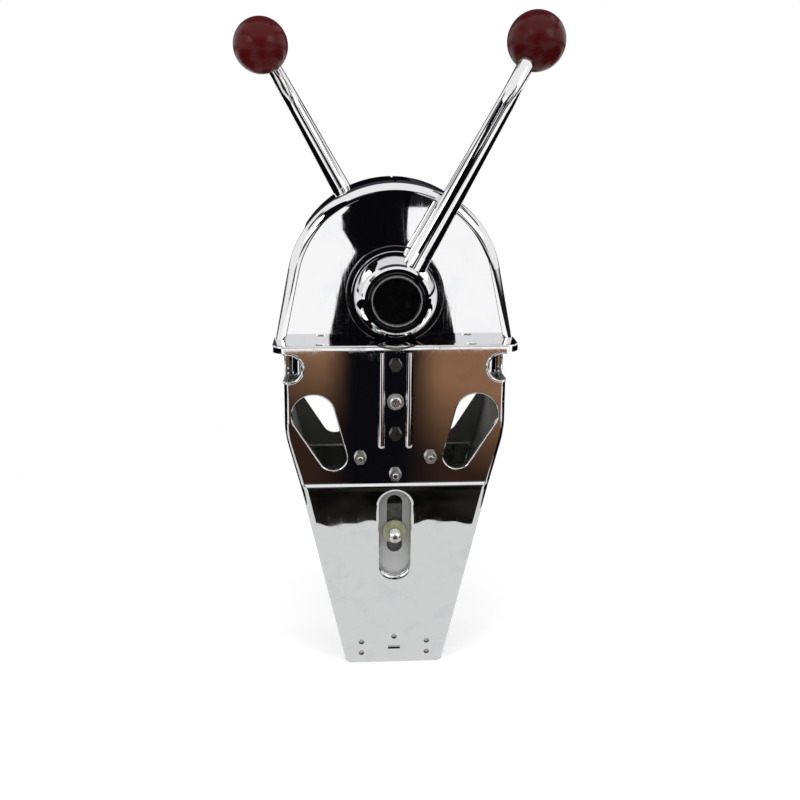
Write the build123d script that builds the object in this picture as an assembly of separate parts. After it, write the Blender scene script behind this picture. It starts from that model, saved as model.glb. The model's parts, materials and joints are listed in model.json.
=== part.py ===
from build123d import *
import math
import os

# Twin-lever top-mount engine control. Millimetres, +Z up, origin at the centre of the
# flange's underside, which is the deck plane. The front module faces -Y; the rear module
# is the same module turned half a turn about Z.

# Fits and allowances
PRESS_GAP = 0.02             # radial, between pieces pressed together
RUNNING_GAP = 0.05           # radial, round what turns
SCREW_GAP = 0.1              # radial, round a screw's shank
THREAD_GAP = 0.05            # radial, between a nut and its screw
CUT_PAST = 1.0               # cutters run this far past a face
SAME_PLACE = 0.01            # edges and faces nearer than this lie in one plane
EMBED = 0.5                  # a feature's root sinks this far into its wall

# Levers and knobs
PIVOT_HEIGHT = 36.5          # shaft axis above the deck
LEVER_LENGTH = 187.7         # shaft axis to knob centre
LEVER_LEAN = 29.0            # rest angle from upright, degrees
LEVER_THROW = 80.0           # each way from upright, degrees
ROD_OFFSET = 46.0            # rod's plane, out from the mid-plane
ROD_ROOT_DIAMETER = 16.6
ROD_START = 18.5             # rod's root inside the hub's wall
ROD_FLARE = 3.0              # root is wider than the rod by this, each side
ROD_FLARE_LENGTH = 9.0
ROD_TIP_DIAMETER = 10.4
ROD_BEND_ANGLE = 30.0        # degrees, towards the mid-plane
ROD_BEND_RADIUS = 60.0
ROD_BEND_LENGTH = 20.0       # bend's end to knob centre
KNOB_DIAMETER = 38.0
KNOB_SPIGOT_DIAMETER = 8.0
KNOB_SPIGOT_LENGTH = 13.0
KNOB_SEAT_EDGE = 0.3         # knob's flat stands round the rod's end
HUB_DIAMETER = 60.0
HUB_RING_DIAMETER = 43.2
HUB_FRONT = 56.7             # hub's front ring, out from the mid-plane
HUB_GAP = 0.9                # hub's back to the housing's pad
HUB_FLOOR = 4.0              # metal between the hub's two hollows
HUB_RIM = 2.0                # ring round the cap
HUB_COLLAR = 1.8             # straight stretch at the hub's back
HUB_BACK_CHAMFER = 0.8
HUB_SHOULDER = 1.6
HUB_ROUNDING = 2.9
HUB_RING_CHAMFER = 1.4
NOSE_ROOM = 2.5              # hub's back hollow round the housing's nose
CAP_GAP = 0.05
CAP_PROUD = 0.9
CAP_WALL = 1.5
CAP_DEPTH = 5.2
CAP_BORDER = 3.4             # cap's edge to its ridge
CAP_RIDGE_WIDTH = 0.7
CAP_RIDGE_HEIGHT = 0.6
HUB_SCREW_DIAMETER = 4.0
HUB_SCREW_LENGTH = 12.0
HUB_SCREW_HEAD_DIAMETER = 8.4
HUB_SCREW_HEAD_HEIGHT = 2.4
HUB_WASHER_DIAMETER = 22.0
HUB_WASHER_THICKNESS = 1.0
SHAFT_END_STEP = 0.2         # shaft's end below the hub's floor
PULL_OUT = 5.0               # hub's travel out of the shift clutch

# Housing
HOUSING_DEPTH = 64.0         # across the two dome faces
HOUSING_WALL = 3.0
DOME_RADIUS = 75.0
DOME_TOP = 113.0
DOME_FLARE = 12.6            # flank's slope from upright, degrees
DOME_EDGE_RADIUS = 8.0
PAD_DIAMETER = 68.0
PAD_FOOT_HEIGHT = 6.2        # pad's flat foot above the deck, clear of the flange
PAD_HEIGHT = 2.1
PAD_EDGE_RADIUS = 0.8
NOSE_DIAMETER = 28.0
NOSE_LENGTH = 9.5
FLANGE_LENGTH = 169.6
FLANGE_WIDTH = 103.0
FLANGE_THICKNESS = 5.0
FLANGE_CORNER = 9.0
FLANGE_EDGE_RADIUS = 1.2
DECK_HOLE_DIAMETER = 5.6
DECK_HOLE_CHAMFER = 0.6
DECK_HOLE_SPACING_X = 104.4
DECK_HOLE_SPACING_Y = 92.2
NEUTRAL_MARK_WIDTH = 2.2
LUG_LENGTH = 12.0            # housing's lugs over the centre plate's ends
LUG_WIDTH = 14.0
LUG_HEIGHT = 14.0
SCREW_BOSS_DIAMETER = 13.0   # housing's bosses over the frame's pillars
SCREW_BOSS_HEIGHT = 16.0
FRAME_SCREW_DIAMETER = 4.2
FRAME_SCREW_GRIP = 9.0       # screw's length in the housing's boss
FRAME_SCREW_HEAD_HEIGHT = 3.2

# Frame shells below the deck
FRAME_DEPTH = 42.5           # upper panel, out from the mid-plane
FRAME_FOOT_DEPTH = 31.6      # lower panel's bottom edge
FRAME_WALL = 2.5
FRAME_TOP_HALF = 77.4
FRAME_KNEE_HALF = 78.1
FRAME_KNEE_DROP = 61.0
FRAME_BEND_HALF = 68.2
FRAME_BEND_DROP = 101.7
FRAME_FOOT_HALF = 37.7
FRAME_HEIGHT = 254.0
UPPER_CORNER_RADIUS = 3.2
LOWER_CORNER_RADIUS = 5.0
KNEE_SOFTENING = 8.0          # half the height that the knee turns in
SHOULDER_HEIGHT = 3.6
SHOULDER_PROUD = 1.5         # lower panel stands out below the shoulder
SHOULDER_TURN = 0.8          # shoulder's lower edge, as a share of its height
SHOULDER_STEPS = 4
SHOULDER_LEAN = 0.1          # lower edge's depth lost to the panel's slope
FRAME_SEAM = 0.4
WINDOW_TOP = (57.7, -47.4)
WINDOW_TOP_RADIUS = 15.0
WINDOW_FOOT = (44.5, -78.7)
WINDOW_FOOT_RADIUS = 9.7
WINDOW_EDGE_RADIUS = 1.0
NOTCH_INSET = 2.9            # notch's centre in from the shell's side
NOTCH_DROP = 13.0
NOTCH_RADIUS = 10.5
NOTCH_REACH = 22.0
BEAD_CENTRE = 9.8
BEAD_RADIUS = 2.7
BEAD_PROUD = 1.6
BEAD_DROP = 70.0
RECESS_HALF_WIDTH = 13.7
RECESS_TOP = -103.4
RECESS_FOOT = -179.0
RECESS_LIP_RADIUS = 2.6
RECESS_FLOOR_DEPTH = 33.1    # recess floor's face, out from the mid-plane
SLOT_CLEARANCE = 0.25
SLOT_SPARE = 0.6             # slot past the pin's travel, each end
CLAMP_HOLE_DIAMETER = 4.4
CLAMP_HOLE_HALF_SPACING = 25.3
CLAMP_HOLE_UPPER = -235.0
CLAMP_HOLE_LOWER = -245.0
LOCATING_HOLE_DROP = -230.5
TAB_SLOT_LENGTH = 9.4
TAB_SLOT_WIDTH = 3.0
TAB_SLOT_DROP = -240.5
PILLAR_INSET = 10.5          # pillar's axis in from the shell's side
PILLAR_OUT = 27.0            # pillar's axis from the mid-plane
PILLAR_DIAMETER = 11.0
PILLAR_LENGTH = 24.0
PILLAR_WEB = 4.0

# Shaft, bushes and centre plate
SHAFT_DIAMETER = 16.0
FLAT_ACROSS = 13.0
FLAT_SPARE = 0.5             # flats past the throttle pinion's travel
BUSH_DIAMETER = 22.0
TAIL_BUSH_DIAMETER = 21.0
CENTRE_PLATE_THICKNESS = 6.0
CENTRE_PLATE_LENGTH = 140.0
CENTRE_PLATE_FOOT = 10.0
CENTRE_PLATE_LIFT = 2.0
CENTRE_PLATE_CHEEK = 26.0    # foot's ends stand this far outside the slope
CENTRE_PLATE_CROWN = 34.0    # top edge's length
CENTRE_PLATE_RISE = 14.0     # top edge above the shaft axis
CENTRE_SCREW_INSET = 6.0
CENTRE_SCREW_LENGTH = 17.0
CENTRE_SCREW_HEAD_DIAMETER = 7.6
CENTRE_SCREW_HEAD_HEIGHT = 2.6
CENTRE_BOSS_DIAMETER = 27.0
CENTRE_BOSS_LENGTH = 9.2
SHAFT_END_GAP = 1.0          # shaft's inner end to the mid-plane
SHAFT_END_ROOM = 0.3         # round the shaft's end, in the plate
DETENT_ALONG = 0.62          # detent's place along the boss, as a share
DETENT_SPOUT_DIAMETER = 6.8
DETENT_SPOUT_FOOT = 6.0      # spout's foot above the plate's
DETENT_WEB = 3.0
DETENT_BORE_DIAMETER = 4.5
DETENT_BALL_DIAMETER = 4.0
DETENT_BALL_GAP = 0.15
DETENT_DIMPLE = 0.8
DETENT_PLUG_DIAMETER = 4.3
DETENT_PLUG_HEIGHT = 4.0
DETENT_SOCKET_RADIUS = 1.2
DETENT_COIL_RADIUS = 1.55
DETENT_WIRE_DIAMETER = 0.6
DETENT_COILS = 4
CLUTCH_PIN_DIAMETER = 2.5
CLUTCH_PIN_LENGTH = 20.4
CLUTCH_SLOT_GAP = 0.1

# Pinions and racks
GEAR_MODULE = 1.5
PINION_TEETH = 16
PRESSURE_ANGLE = 25.0
TOOTH_ADDENDUM = 1.3
TOOTH_DEDENDUM = 1.6
TOOTH_BACKLASH = 0.10
THROTTLE_PINION_FACE = 4.2
SHIFT_PINION_FACE = 4.5
PINION_WALL_GAP = 0.3
RACK_THICKNESS = 4.0
RACK_OUTER = 18.5            # rack's plain edge from the shaft axis
RACK_INNER = 12.0            # plain stretch's inner edge
RACK_END = 1.5               # plain metal past the last tooth
RACK_NECK = 2.0
RACK_SPARE = 0.5             # teeth past the travel, in pitch radii
SLIDE_PIN_DROP = -141.3      # pin of the throttle slide at rest
SLIDE_FOOT_HEIGHT = 26.0
SLIDE_FOOT_CORNER = 3.0
SLIDE_SCREW_DIAMETER = 5.0
SLIDE_SCREW_HEAD_DIAMETER = 8.6
SLIDE_SCREW_HEAD_HEIGHT = 3.2
SLIDE_SCREW_HEAD_ROUND = 1.3
SLIDE_SCREW_TAIL = 0.6
CABLE_EYE_REACH = 25.3
CABLE_EYE_DIAMETER = 6.6
SLIDE_EAR = 6.0              # metal round the cable eye
SHOE_HALF_HEIGHT = 21.0
SHOE_HALF_WIDTH = 8.0
SHOE_CORNER = 1.5
SHOE_LAP = 1.0               # rack's foot past the shoe
SLIDE_GAP = 0.3              # shoe's face to the recess floor
WASHER_GAP = 0.1             # washer's face to the recess floor
WASHER_DIAMETER = 18.2
WASHER_THICKNESS = 1.8
WASHER_EDGE_RADIUS = 0.5
WASHER_SHOULDER_DIAMETER = 10.9

# Guide blocks, friction pads and tie bolts
GUIDE_HALF_WIDTH = 31.0
GUIDE_TOP = -70.0
GUIDE_FOOT = -86.0
GUIDE_TAB_FOOT = -97.5
GUIDE_TAB_HALF_WIDTH = 8.0
GUIDE_CORNER = 2.0
GUIDE_BASE = 4.0
GUIDE_GAP = 0.15
GUIDE_RAIL_WALL = 2.3
GUIDE_SCREWS = ((-25.1, -78.9), (25.1, -78.9), (0.0, -92.0))
TIE_DROPS = (-10.8, -61.4)
FRICTION_DROP = -37.6
FRICTION_SCREW_HEAD_DIAMETER = 8.0
FRICTION_SCREW_HEAD_HEIGHT = 2.6
FRICTION_SCREW_HEAD_ROUND = 1.0
FRICTION_SCREW_NOSE_DIAMETER = 3.0
FRICTION_SCREW_NOSE_LENGTH = 2.0
CROSS_RECESS_LENGTH = 4.8
CROSS_RECESS_WIDTH = 1.1
CROSS_RECESS_DEPTH = 1.4
FRICTION_WASHER_DIAMETER = 11.6
FRICTION_WASHER_THICKNESS = 1.0
PAD_BAR_THICKNESS = 4.0
PAD_BAR_HEIGHT = 11.0
PAD_FOOT = 2.0               # pad's rubbing foot stands out of its bar
PAD_GAP = 0.1
TIE_SPACER_DIAMETER = 10.0
TIE_BOLT_DIAMETER = 5.0
TIE_BOLT_HEAD_HEIGHT = 3.5
TIE_BOLT_TAIL = 1.0
GUIDE_SCREW_DIAMETER = 4.2
GUIDE_SCREW_HEAD_DIAMETER = 7.2
GUIDE_SCREW_HEAD_HEIGHT = 2.4
GUIDE_SCREW_TAIL = 1.2
GUIDE_SCREW_CHAMFER = 0.5
FRICTION_SCREW_DIAMETER = 5.0
HEX_ACROSS = 8.0
HEX_ROUNDING = 1.1           # corners turned off at this share of the half width
NUT_HEIGHT = 3.8

# Derived places
DOME_CENTRE = DOME_TOP - DOME_RADIUS
FACE = HOUSING_DEPTH / 2
PAD_FACE = FACE + PAD_HEIGHT
HUB_BACK = PAD_FACE + HUB_GAP
SHAFT_RADIUS = SHAFT_DIAMETER / 2
PITCH_RADIUS = GEAR_MODULE * PINION_TEETH / 2
INNER_WALL = FACE - HOUSING_WALL
THROTTLE_PINION_OUT = INNER_WALL - PINION_WALL_GAP
CENTRE_BOSS_FACE = CENTRE_PLATE_THICKNESS / 2 + CENTRE_BOSS_LENGTH
SHIFT_PINION_IN = CENTRE_BOSS_FACE + PINION_WALL_GAP
THROTTLE_RACK_OUT = THROTTLE_PINION_OUT - (THROTTLE_PINION_FACE - RACK_THICKNESS) / 2
SHIFT_RACK_IN = SHIFT_PINION_IN + (SHIFT_PINION_FACE - RACK_THICKNESS) / 2
LEAN_TO_FULL = math.radians(LEVER_THROW - LEVER_LEAN)
LEAN_TO_BACK = math.radians(LEVER_THROW + LEVER_LEAN)
SLIDE_DOWN = PITCH_RADIUS * LEAN_TO_FULL
SLIDE_UP = PITCH_RADIUS * LEAN_TO_BACK
PANEL_INSIDE = FRAME_DEPTH - FRAME_WALL
FLOOR_INSIDE = RECESS_FLOOR_DEPTH - FRAME_WALL
HUB_HOLLOW_FLOOR = HUB_FRONT - CAP_DEPTH
CLUTCH_PIN_PLACE = SHIFT_PINION_IN + SHIFT_PINION_FACE + CLUTCH_SLOT_GAP
CAP_BORE_RADIUS = HUB_RING_DIAMETER / 2 - HUB_RIM
PILLAR_X = FRAME_TOP_HALF - PILLAR_INSET
CENTRE_SCREW_X = CENTRE_PLATE_LENGTH / 2 - CENTRE_SCREW_INSET
CENTRE_PLATE_HEAD = CENTRE_PLATE_LIFT + CENTRE_PLATE_FOOT
DETENT_PLACE = CENTRE_PLATE_THICKNESS / 2 + CENTRE_BOSS_LENGTH * DETENT_ALONG
DETENT_FOOT = CENTRE_PLATE_LIFT + DETENT_SPOUT_FOOT
SHAFT_UNDERSIDE = PIVOT_HEIGHT - SHAFT_RADIUS
PAD_BAR_IN = THROTTLE_RACK_OUT + PAD_GAP + PAD_FOOT
PAD_BAR_OUT = PAD_BAR_IN + PAD_BAR_THICKNESS
BEND = math.radians(ROD_BEND_ANGLE)
ROD_STRAIGHT = LEVER_LENGTH - ROD_BEND_LENGTH * math.cos(BEND) - ROD_BEND_RADIUS * math.sin(BEND)
ROD_ARC = ROD_BEND_RADIUS * BEND
KNOB_SEAT = math.sqrt((KNOB_DIAMETER / 2) ** 2 - (ROD_TIP_DIAMETER / 2 + KNOB_SEAT_EDGE) ** 2)
ROD_END = ROD_STRAIGHT + ROD_ARC + ROD_BEND_LENGTH - KNOB_SEAT


def along_y(radius, near, far, x=0.0, z=0.0):
    """Cylinder along Y between two distances in front of the mid-plane."""
    middle = -(near + far) / 2
    return Pos(x, middle, z) * Rot(90, 0, 0) * Cylinder(radius, abs(far - near))


def block(x0, x1, near, far, z0, z1):
    """Box between two distances in front of the mid-plane."""
    size = (abs(x1 - x0), abs(far - near), abs(z1 - z0))
    return Pos((x0 + x1) / 2, -(near + far) / 2, (z0 + z1) / 2) * Box(*size)


def plate_in_front(profile, near, far):
    """Extrude an XZ profile (drawn on Plane.XZ) between two distances in front."""
    return Pos(0, -near, 0) * extrude(profile, amount=far - near)


def turned(points):
    """Revolve (radius, distance in front) points about the shaft axis."""
    outline = Polyline(*[(r, -d) for r, d in points], close=True)
    return revolve(make_face(outline), Axis.Y)


def at_pivot(shape):
    return Pos(0, 0, PIVOT_HEIGHT) * shape


def half_turn(shape):
    return Rot(0, 0, 180) * shape


def both_modules(shapes):
    shapes = list(shapes)
    return Compound(children=shapes + [half_turn(s) for s in shapes])


# ---------------------------------------------------------------- housing

def dome_profile(inset):
    """Arch with flared flanks, drawn on Plane.XZ and closed at the deck."""
    radius = DOME_RADIUS - inset
    flare = math.radians(DOME_FLARE)
    shoulder_x = radius * math.cos(flare)
    shoulder_z = DOME_CENTRE + radius * math.sin(flare)
    foot_x = shoulder_x + shoulder_z * math.tan(flare)
    arch = ThreePointArc((-shoulder_x, shoulder_z), (0, DOME_CENTRE + radius), (shoulder_x, shoulder_z))
    sides = Polyline((shoulder_x, shoulder_z), (foot_x, 0), (-foot_x, 0), (-shoulder_x, shoulder_z))
    return Plane.XZ * make_face(arch + sides)


def at_corners(x, y, shape):
    """Four copies of a shape, at plus and minus x and y."""
    return [Pos(side * x, end * y, 0) * shape for side in (-1, 1) for end in (-1, 1)]


def dome():
    arch = Pos(0, FACE, 0) * extrude(dome_profile(0), amount=2 * FACE)
    rims = arch.edges().filter_by(
        lambda e: abs(abs(e.center().Y) - FACE) < PRESS_GAP and e.center().Z > CUT_PAST)
    between_ends = block(-FLANGE_LENGTH / 2, FLANGE_LENGTH / 2, -FACE, FACE, 0, DOME_TOP)
    arch = fillet(rims, DOME_EDGE_RADIUS) & between_ends
    flange = extrude(RectangleRounded(FLANGE_LENGTH, FLANGE_WIDTH, FLANGE_CORNER), amount=FLANGE_THICKNESS)
    return arch + fillet(flange.edges().group_by(Axis.Z)[-1], FLANGE_EDGE_RADIUS)


def hub_pad():
    """Round pad on the dome's face, with the nose that holds the shaft's bush."""
    pad = at_pivot(along_y(PAD_DIAMETER / 2, FACE - EMBED, PAD_FACE))
    pad = fillet(pad.edges().group_by(Axis.Y)[0], PAD_EDGE_RADIUS)
    pad -= block(-PAD_DIAMETER, PAD_DIAMETER, FACE - CUT_PAST, PAD_FACE + CUT_PAST,
                 -PAD_DIAMETER, PAD_FOOT_HEIGHT)
    return pad + at_pivot(along_y(NOSE_DIAMETER / 2, FACE - EMBED, PAD_FACE + NOSE_LENGTH))


def housing():
    body = dome()
    for turn in (0, 180):
        body += Rot(0, 0, turn) * hub_pad()
    body -= Pos(0, INNER_WALL, 0) * extrude(dome_profile(HOUSING_WALL), amount=2 * INNER_WALL)
    lug = block(CENTRE_PLATE_LENGTH / 2 - LUG_LENGTH, FLANGE_LENGTH / 2, -LUG_WIDTH / 2, LUG_WIDTH / 2,
                CENTRE_PLATE_HEAD, CENTRE_PLATE_HEAD + LUG_HEIGHT)
    boss = Cylinder(SCREW_BOSS_DIAMETER / 2, SCREW_BOSS_HEIGHT, align=(Align.CENTER, Align.CENTER, Align.MIN))
    room = Pos(0, FACE - EMBED, 0) * extrude(dome_profile(EMBED), amount=2 * (FACE - EMBED))
    for solid in [lug, half_turn(lug)] + at_corners(PILLAR_X, PILLAR_OUT, boss):
        body += solid & room
    bore = at_pivot(along_y(BUSH_DIAMETER / 2 + PRESS_GAP, INNER_WALL - CUT_PAST,
                            PAD_FACE + NOSE_LENGTH + CUT_PAST))
    body -= bore
    body -= half_turn(bore)
    deck_hole = Cylinder(DECK_HOLE_DIAMETER / 2, 4 * FLANGE_THICKNESS) \
        + Pos(0, 0, FLANGE_THICKNESS - DECK_HOLE_CHAMFER) * Cone(
            DECK_HOLE_DIAMETER / 2, DECK_HOLE_DIAMETER / 2 + 2 * DECK_HOLE_CHAMFER, 2 * DECK_HOLE_CHAMFER,
            align=(Align.CENTER, Align.CENTER, Align.MIN))
    for hole in at_corners(DECK_HOLE_SPACING_X / 2, DECK_HOLE_SPACING_Y / 2, deck_hole):
        body -= hole
    for hole in at_corners(PILLAR_X, PILLAR_OUT, screw_hole(FRAME_SCREW_GRIP + CUT_PAST)):
        body -= hole
    for side in (-1, 1):
        body -= Pos(side * CENTRE_SCREW_X, 0, CENTRE_PLATE_LIFT) * screw_hole(CENTRE_SCREW_LENGTH + CUT_PAST)
    return body - Pos(0, 0, DOME_TOP) * Rot(90, 0, 0) * Cylinder(NEUTRAL_MARK_WIDTH / 2, 3 * FACE)


def screw_hole(height):
    """Upright hole for a frame screw, from just below the deck plane."""
    return Pos(0, 0, -CUT_PAST) * Cylinder(FRAME_SCREW_DIAMETER / 2 + SCREW_GAP, height + CUT_PAST,
                                           align=(Align.CENTER, Align.CENTER, Align.MIN))


# ---------------------------------------------------------------- frame shells

def shell_levels():
    """Drop, half-width, depth and corner radius down the shell, with a soft knee and shoulder."""
    knee_slope = (FRAME_KNEE_HALF - FRAME_BEND_HALF) / (FRAME_BEND_DROP - FRAME_KNEE_DROP)
    levels = [(0, FRAME_TOP_HALF, FRAME_DEPTH, UPPER_CORNER_RADIUS)]
    for share in (-1, -0.4, 0.4, 1):
        out = KNEE_SOFTENING * knee_slope * (share + 1) ** 2 / 4
        levels.append((FRAME_KNEE_DROP + share * KNEE_SOFTENING, FRAME_KNEE_HALF - out, FRAME_DEPTH,
                       UPPER_CORNER_RADIUS))
    foot_slope = (FRAME_BEND_HALF - FRAME_FOOT_HALF) / (FRAME_HEIGHT - FRAME_BEND_DROP)
    for step in range(SHOULDER_STEPS + 1):
        share = step / SHOULDER_STEPS
        ease = (1 - math.cos(math.pi * share)) / 2
        drop = FRAME_BEND_DROP + (share - 1) * SHOULDER_HEIGHT
        levels.append((drop, FRAME_BEND_HALF + (1 - share) * SHOULDER_HEIGHT * knee_slope,
                       FRAME_DEPTH + ease * SHOULDER_PROUD,
                       UPPER_CORNER_RADIUS + ease * (LOWER_CORNER_RADIUS - UPPER_CORNER_RADIUS)))
    turn = SHOULDER_HEIGHT * SHOULDER_TURN
    levels.append((FRAME_BEND_DROP + turn, FRAME_BEND_HALF - turn * foot_slope,
                   FRAME_DEPTH + SHOULDER_PROUD - SHOULDER_LEAN, LOWER_CORNER_RADIUS))
    levels.append((FRAME_HEIGHT, FRAME_FOOT_HALF, FRAME_FOOT_DEPTH, LOWER_CORNER_RADIUS))
    return levels


def frame_block(inset):
    """Solid that fills one shell, drawn in by the wall, with rounded corners."""
    sections = []
    for drop, half, depth, corner in shell_levels():
        x, y = half - inset, depth - inset
        front = FilletPolyline((-x, 0), (-x, -y), (x, -y), (x, 0), radius=corner - inset)
        sections.append(Pos(0, 0, -drop) * make_face(front + Line((x, 0), (-x, 0))))
    return loft(sections, ruled=True)


def obround(half_width, top, foot):
    """Upright slot outline on Plane.XZ, round at both ends."""
    high, low = top - half_width, foot + half_width
    line = Polyline((half_width, high), (half_width, low))
    other = Polyline((-half_width, low), (-half_width, high))
    over = ThreePointArc((-half_width, high), (0, top), (half_width, high))
    under = ThreePointArc((half_width, low), (0, foot), (-half_width, low))
    return Plane.XZ * make_face(line + under + other + over)


def window(side):
    (x0, z0), (x1, z1) = WINDOW_TOP, WINDOW_FOOT
    circles = (Pos(side * x0, z0) * CenterArc((0, 0), WINDOW_TOP_RADIUS, 0, 360)
               + Pos(side * x1, z1) * CenterArc((0, 0), WINDOW_FOOT_RADIUS, 0, 360))
    outline = make_hull(circles.edges())
    return plate_in_front(Plane.XZ * outline, PANEL_INSIDE - CUT_PAST, FRAME_DEPTH + CUT_PAST)


def bead(x):
    place = FRAME_DEPTH + BEAD_PROUD - BEAD_RADIUS
    rib = Pos(x, -place, -BEAD_DROP / 2) * Cylinder(BEAD_RADIUS, BEAD_DROP)
    end = Pos(x, -place, -BEAD_DROP) * Sphere(BEAD_RADIUS)
    keep = block(x - BEAD_RADIUS, x + BEAD_RADIUS, PANEL_INSIDE + EMBED, FRAME_DEPTH + BEAD_PROUD,
                 -BEAD_DROP - BEAD_RADIUS, 0)
    return (rib + end) & keep


def recess_pocket():
    """Tray that sinks the sliding pin's floor below the lower panel, as a solid."""
    grow = FRAME_WALL - RECESS_LIP_RADIUS
    return plate_in_front(obround(RECESS_HALF_WIDTH + grow, RECESS_TOP + grow, RECESS_FOOT - grow),
                          FLOOR_INSIDE, FRAME_DEPTH)


def recess_floor_cut():
    floor = obround(RECESS_HALF_WIDTH - RECESS_LIP_RADIUS, RECESS_TOP - RECESS_LIP_RADIUS,
                    RECESS_FOOT + RECESS_LIP_RADIUS)
    return plate_in_front(floor, RECESS_FLOOR_DEPTH, FRAME_DEPTH + SHOULDER_PROUD + CUT_PAST)


def recess_slot_cut():
    pin_half = WASHER_SHOULDER_DIAMETER / 2 + SLOT_CLEARANCE
    slot = obround(pin_half, SLIDE_PIN_DROP + SLIDE_UP + pin_half + SLOT_SPARE,
                   SLIDE_PIN_DROP - SLIDE_DOWN - pin_half - SLOT_SPARE)
    return plate_in_front(slot, FLOOR_INSIDE - CUT_PAST, RECESS_FLOOR_DEPTH + CUT_PAST)


def sunk_block():
    """Frame block with the recess sunk in its lower panel and the recess's mouth rounded."""
    block_with_recess = frame_block(0) - recess_floor_cut()
    walls = block_with_recess.faces().filter_by(
        lambda f: abs(f.bounding_box().max.Y + RECESS_FLOOR_DEPTH) < SAME_PLACE
        and f.bounding_box().size.Y > SAME_PLACE)
    mouth = walls.edges().filter_by(
        lambda e: e.bounding_box().size.Z > SAME_PLACE and -e.center().Y > RECESS_FLOOR_DEPTH + SAME_PLACE)
    return fillet(mouth, RECESS_LIP_RADIUS)


def window_mouths(shell):
    """Edges where the windows' walls meet the upper panel's face."""
    walls = shell.faces().filter_by(
        lambda f: abs(f.bounding_box().min.Y + FRAME_DEPTH) < SAME_PLACE
        and abs(f.bounding_box().max.Y + PANEL_INSIDE) < SAME_PLACE
        and abs(f.center().X) > WINDOW_FOOT[0] - WINDOW_TOP_RADIUS)
    return walls.edges().filter_by(lambda e: abs(e.center().Y + FRAME_DEPTH) < SAME_PLACE)


def foot_cuts():
    """Cable clamp holes, locating hole and tab slot near the shell's foot."""
    near, far = FRAME_FOOT_DEPTH - 2 * FRAME_WALL, FRAME_DEPTH
    places = [(side * CLAMP_HOLE_HALF_SPACING, drop)
              for side in (-1, 1) for drop in (CLAMP_HOLE_UPPER, CLAMP_HOLE_LOWER)]
    cuts = [along_y(CLAMP_HOLE_DIAMETER / 2, near, far, x, z) for x, z in places + [(0, LOCATING_HOLE_DROP)]]
    cuts.append(block(-TAB_SLOT_LENGTH / 2, TAB_SLOT_LENGTH / 2, near, far,
                      TAB_SLOT_DROP - TAB_SLOT_WIDTH / 2, TAB_SLOT_DROP + TAB_SLOT_WIDTH / 2))
    return cuts


def panel_screw_cuts():
    near, far = PANEL_INSIDE - CUT_PAST, FRAME_DEPTH + CUT_PAST
    cuts = [along_y(GUIDE_SCREW_DIAMETER / 2 + SCREW_GAP, near, far, x, z) for x, z in GUIDE_SCREWS]
    cuts += [along_y(TIE_BOLT_DIAMETER / 2 + SCREW_GAP, near, far, 0, drop) for drop in TIE_DROPS]
    return cuts + [along_y(FRICTION_SCREW_DIAMETER / 2 + SCREW_GAP, near, far, 0, FRICTION_DROP)]


def pillar(side):
    """Screw pillar under the deck plane, tied to the shell's side and to its front."""
    x, half = side * PILLAR_X, PILLAR_WEB / 2
    post = Pos(x, -PILLAR_OUT, 0) * Cylinder(PILLAR_DIAMETER / 2, PILLAR_LENGTH,
                                             align=(Align.CENTER, Align.CENTER, Align.MAX))
    web = block(x, side * (FRAME_TOP_HALF - EMBED), PILLAR_OUT - half, PILLAR_OUT + half,
                -PILLAR_LENGTH, PILLAR_WEB - PILLAR_LENGTH)
    tie = block(x - half, x + half, PILLAR_OUT, FRAME_DEPTH - EMBED, -PILLAR_WEB, 0)
    return post + web + tie


def frame_shell():
    inner = frame_block(FRAME_WALL)
    hollow = Pos(0, 0, CUT_PAST) * inner + Pos(0, 0, -CUT_PAST) * inner - recess_pocket()
    shell = sunk_block() - hollow - recess_slot_cut()
    side = FRAME_KNEE_HALF + CUT_PAST
    shell -= block(-side, side, -CUT_PAST, FRAME_SEAM / 2, -FRAME_HEIGHT - CUT_PAST, CUT_PAST)
    for x in (-BEAD_CENTRE, BEAD_CENTRE):
        shell += bead(x)
    for side in (-1, 1):
        shell -= window(side)
    shell = fillet(window_mouths(shell), WINDOW_EDGE_RADIUS)
    for side in (-1, 1):
        shell -= along_y(NOTCH_RADIUS, FRAME_DEPTH - NOTCH_REACH, FRAME_DEPTH + CUT_PAST,
                         side * (FRAME_TOP_HALF - NOTCH_INSET), -NOTCH_DROP)
        shell += pillar(side)
        shell -= Pos(side * PILLAR_X, -PILLAR_OUT, -PILLAR_LENGTH / 2) * Cylinder(
            FRAME_SCREW_DIAMETER / 2 + SCREW_GAP, PILLAR_LENGTH + 2 * CUT_PAST)
    for cut in foot_cuts() + panel_screw_cuts():
        shell -= cut
    return shell


# ---------------------------------------------------------------- levers

def rod_plane(travel):
    """Plane across the rod, a distance along it from the shaft axis."""
    turn = min(max(travel - ROD_STRAIGHT, 0), ROD_ARC) / ROD_BEND_RADIUS
    beyond = max(travel - ROD_STRAIGHT - ROD_ARC, 0)
    rise = min(travel, ROD_STRAIGHT) + ROD_BEND_RADIUS * math.sin(turn) + beyond * math.cos(turn)
    inward = ROD_BEND_RADIUS * (1 - math.cos(turn)) + beyond * math.sin(turn)
    return Plane(origin=(0, -ROD_OFFSET + inward, rise), x_dir=(1, 0, 0),
                 z_dir=(0, math.sin(turn), math.cos(turn)))


def rod_section(travel):
    share = (travel - ROD_START) / (ROD_END - ROD_START)
    radius = ROD_ROOT_DIAMETER / 2 + share * (ROD_TIP_DIAMETER - ROD_ROOT_DIAMETER) / 2
    flare = ROD_FLARE * max(1 - (travel - ROD_START) / ROD_FLARE_LENGTH, 0) ** 2
    return rod_plane(travel) * (Ellipse(radius + flare, radius) if flare > 0 else Circle(radius))


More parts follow.
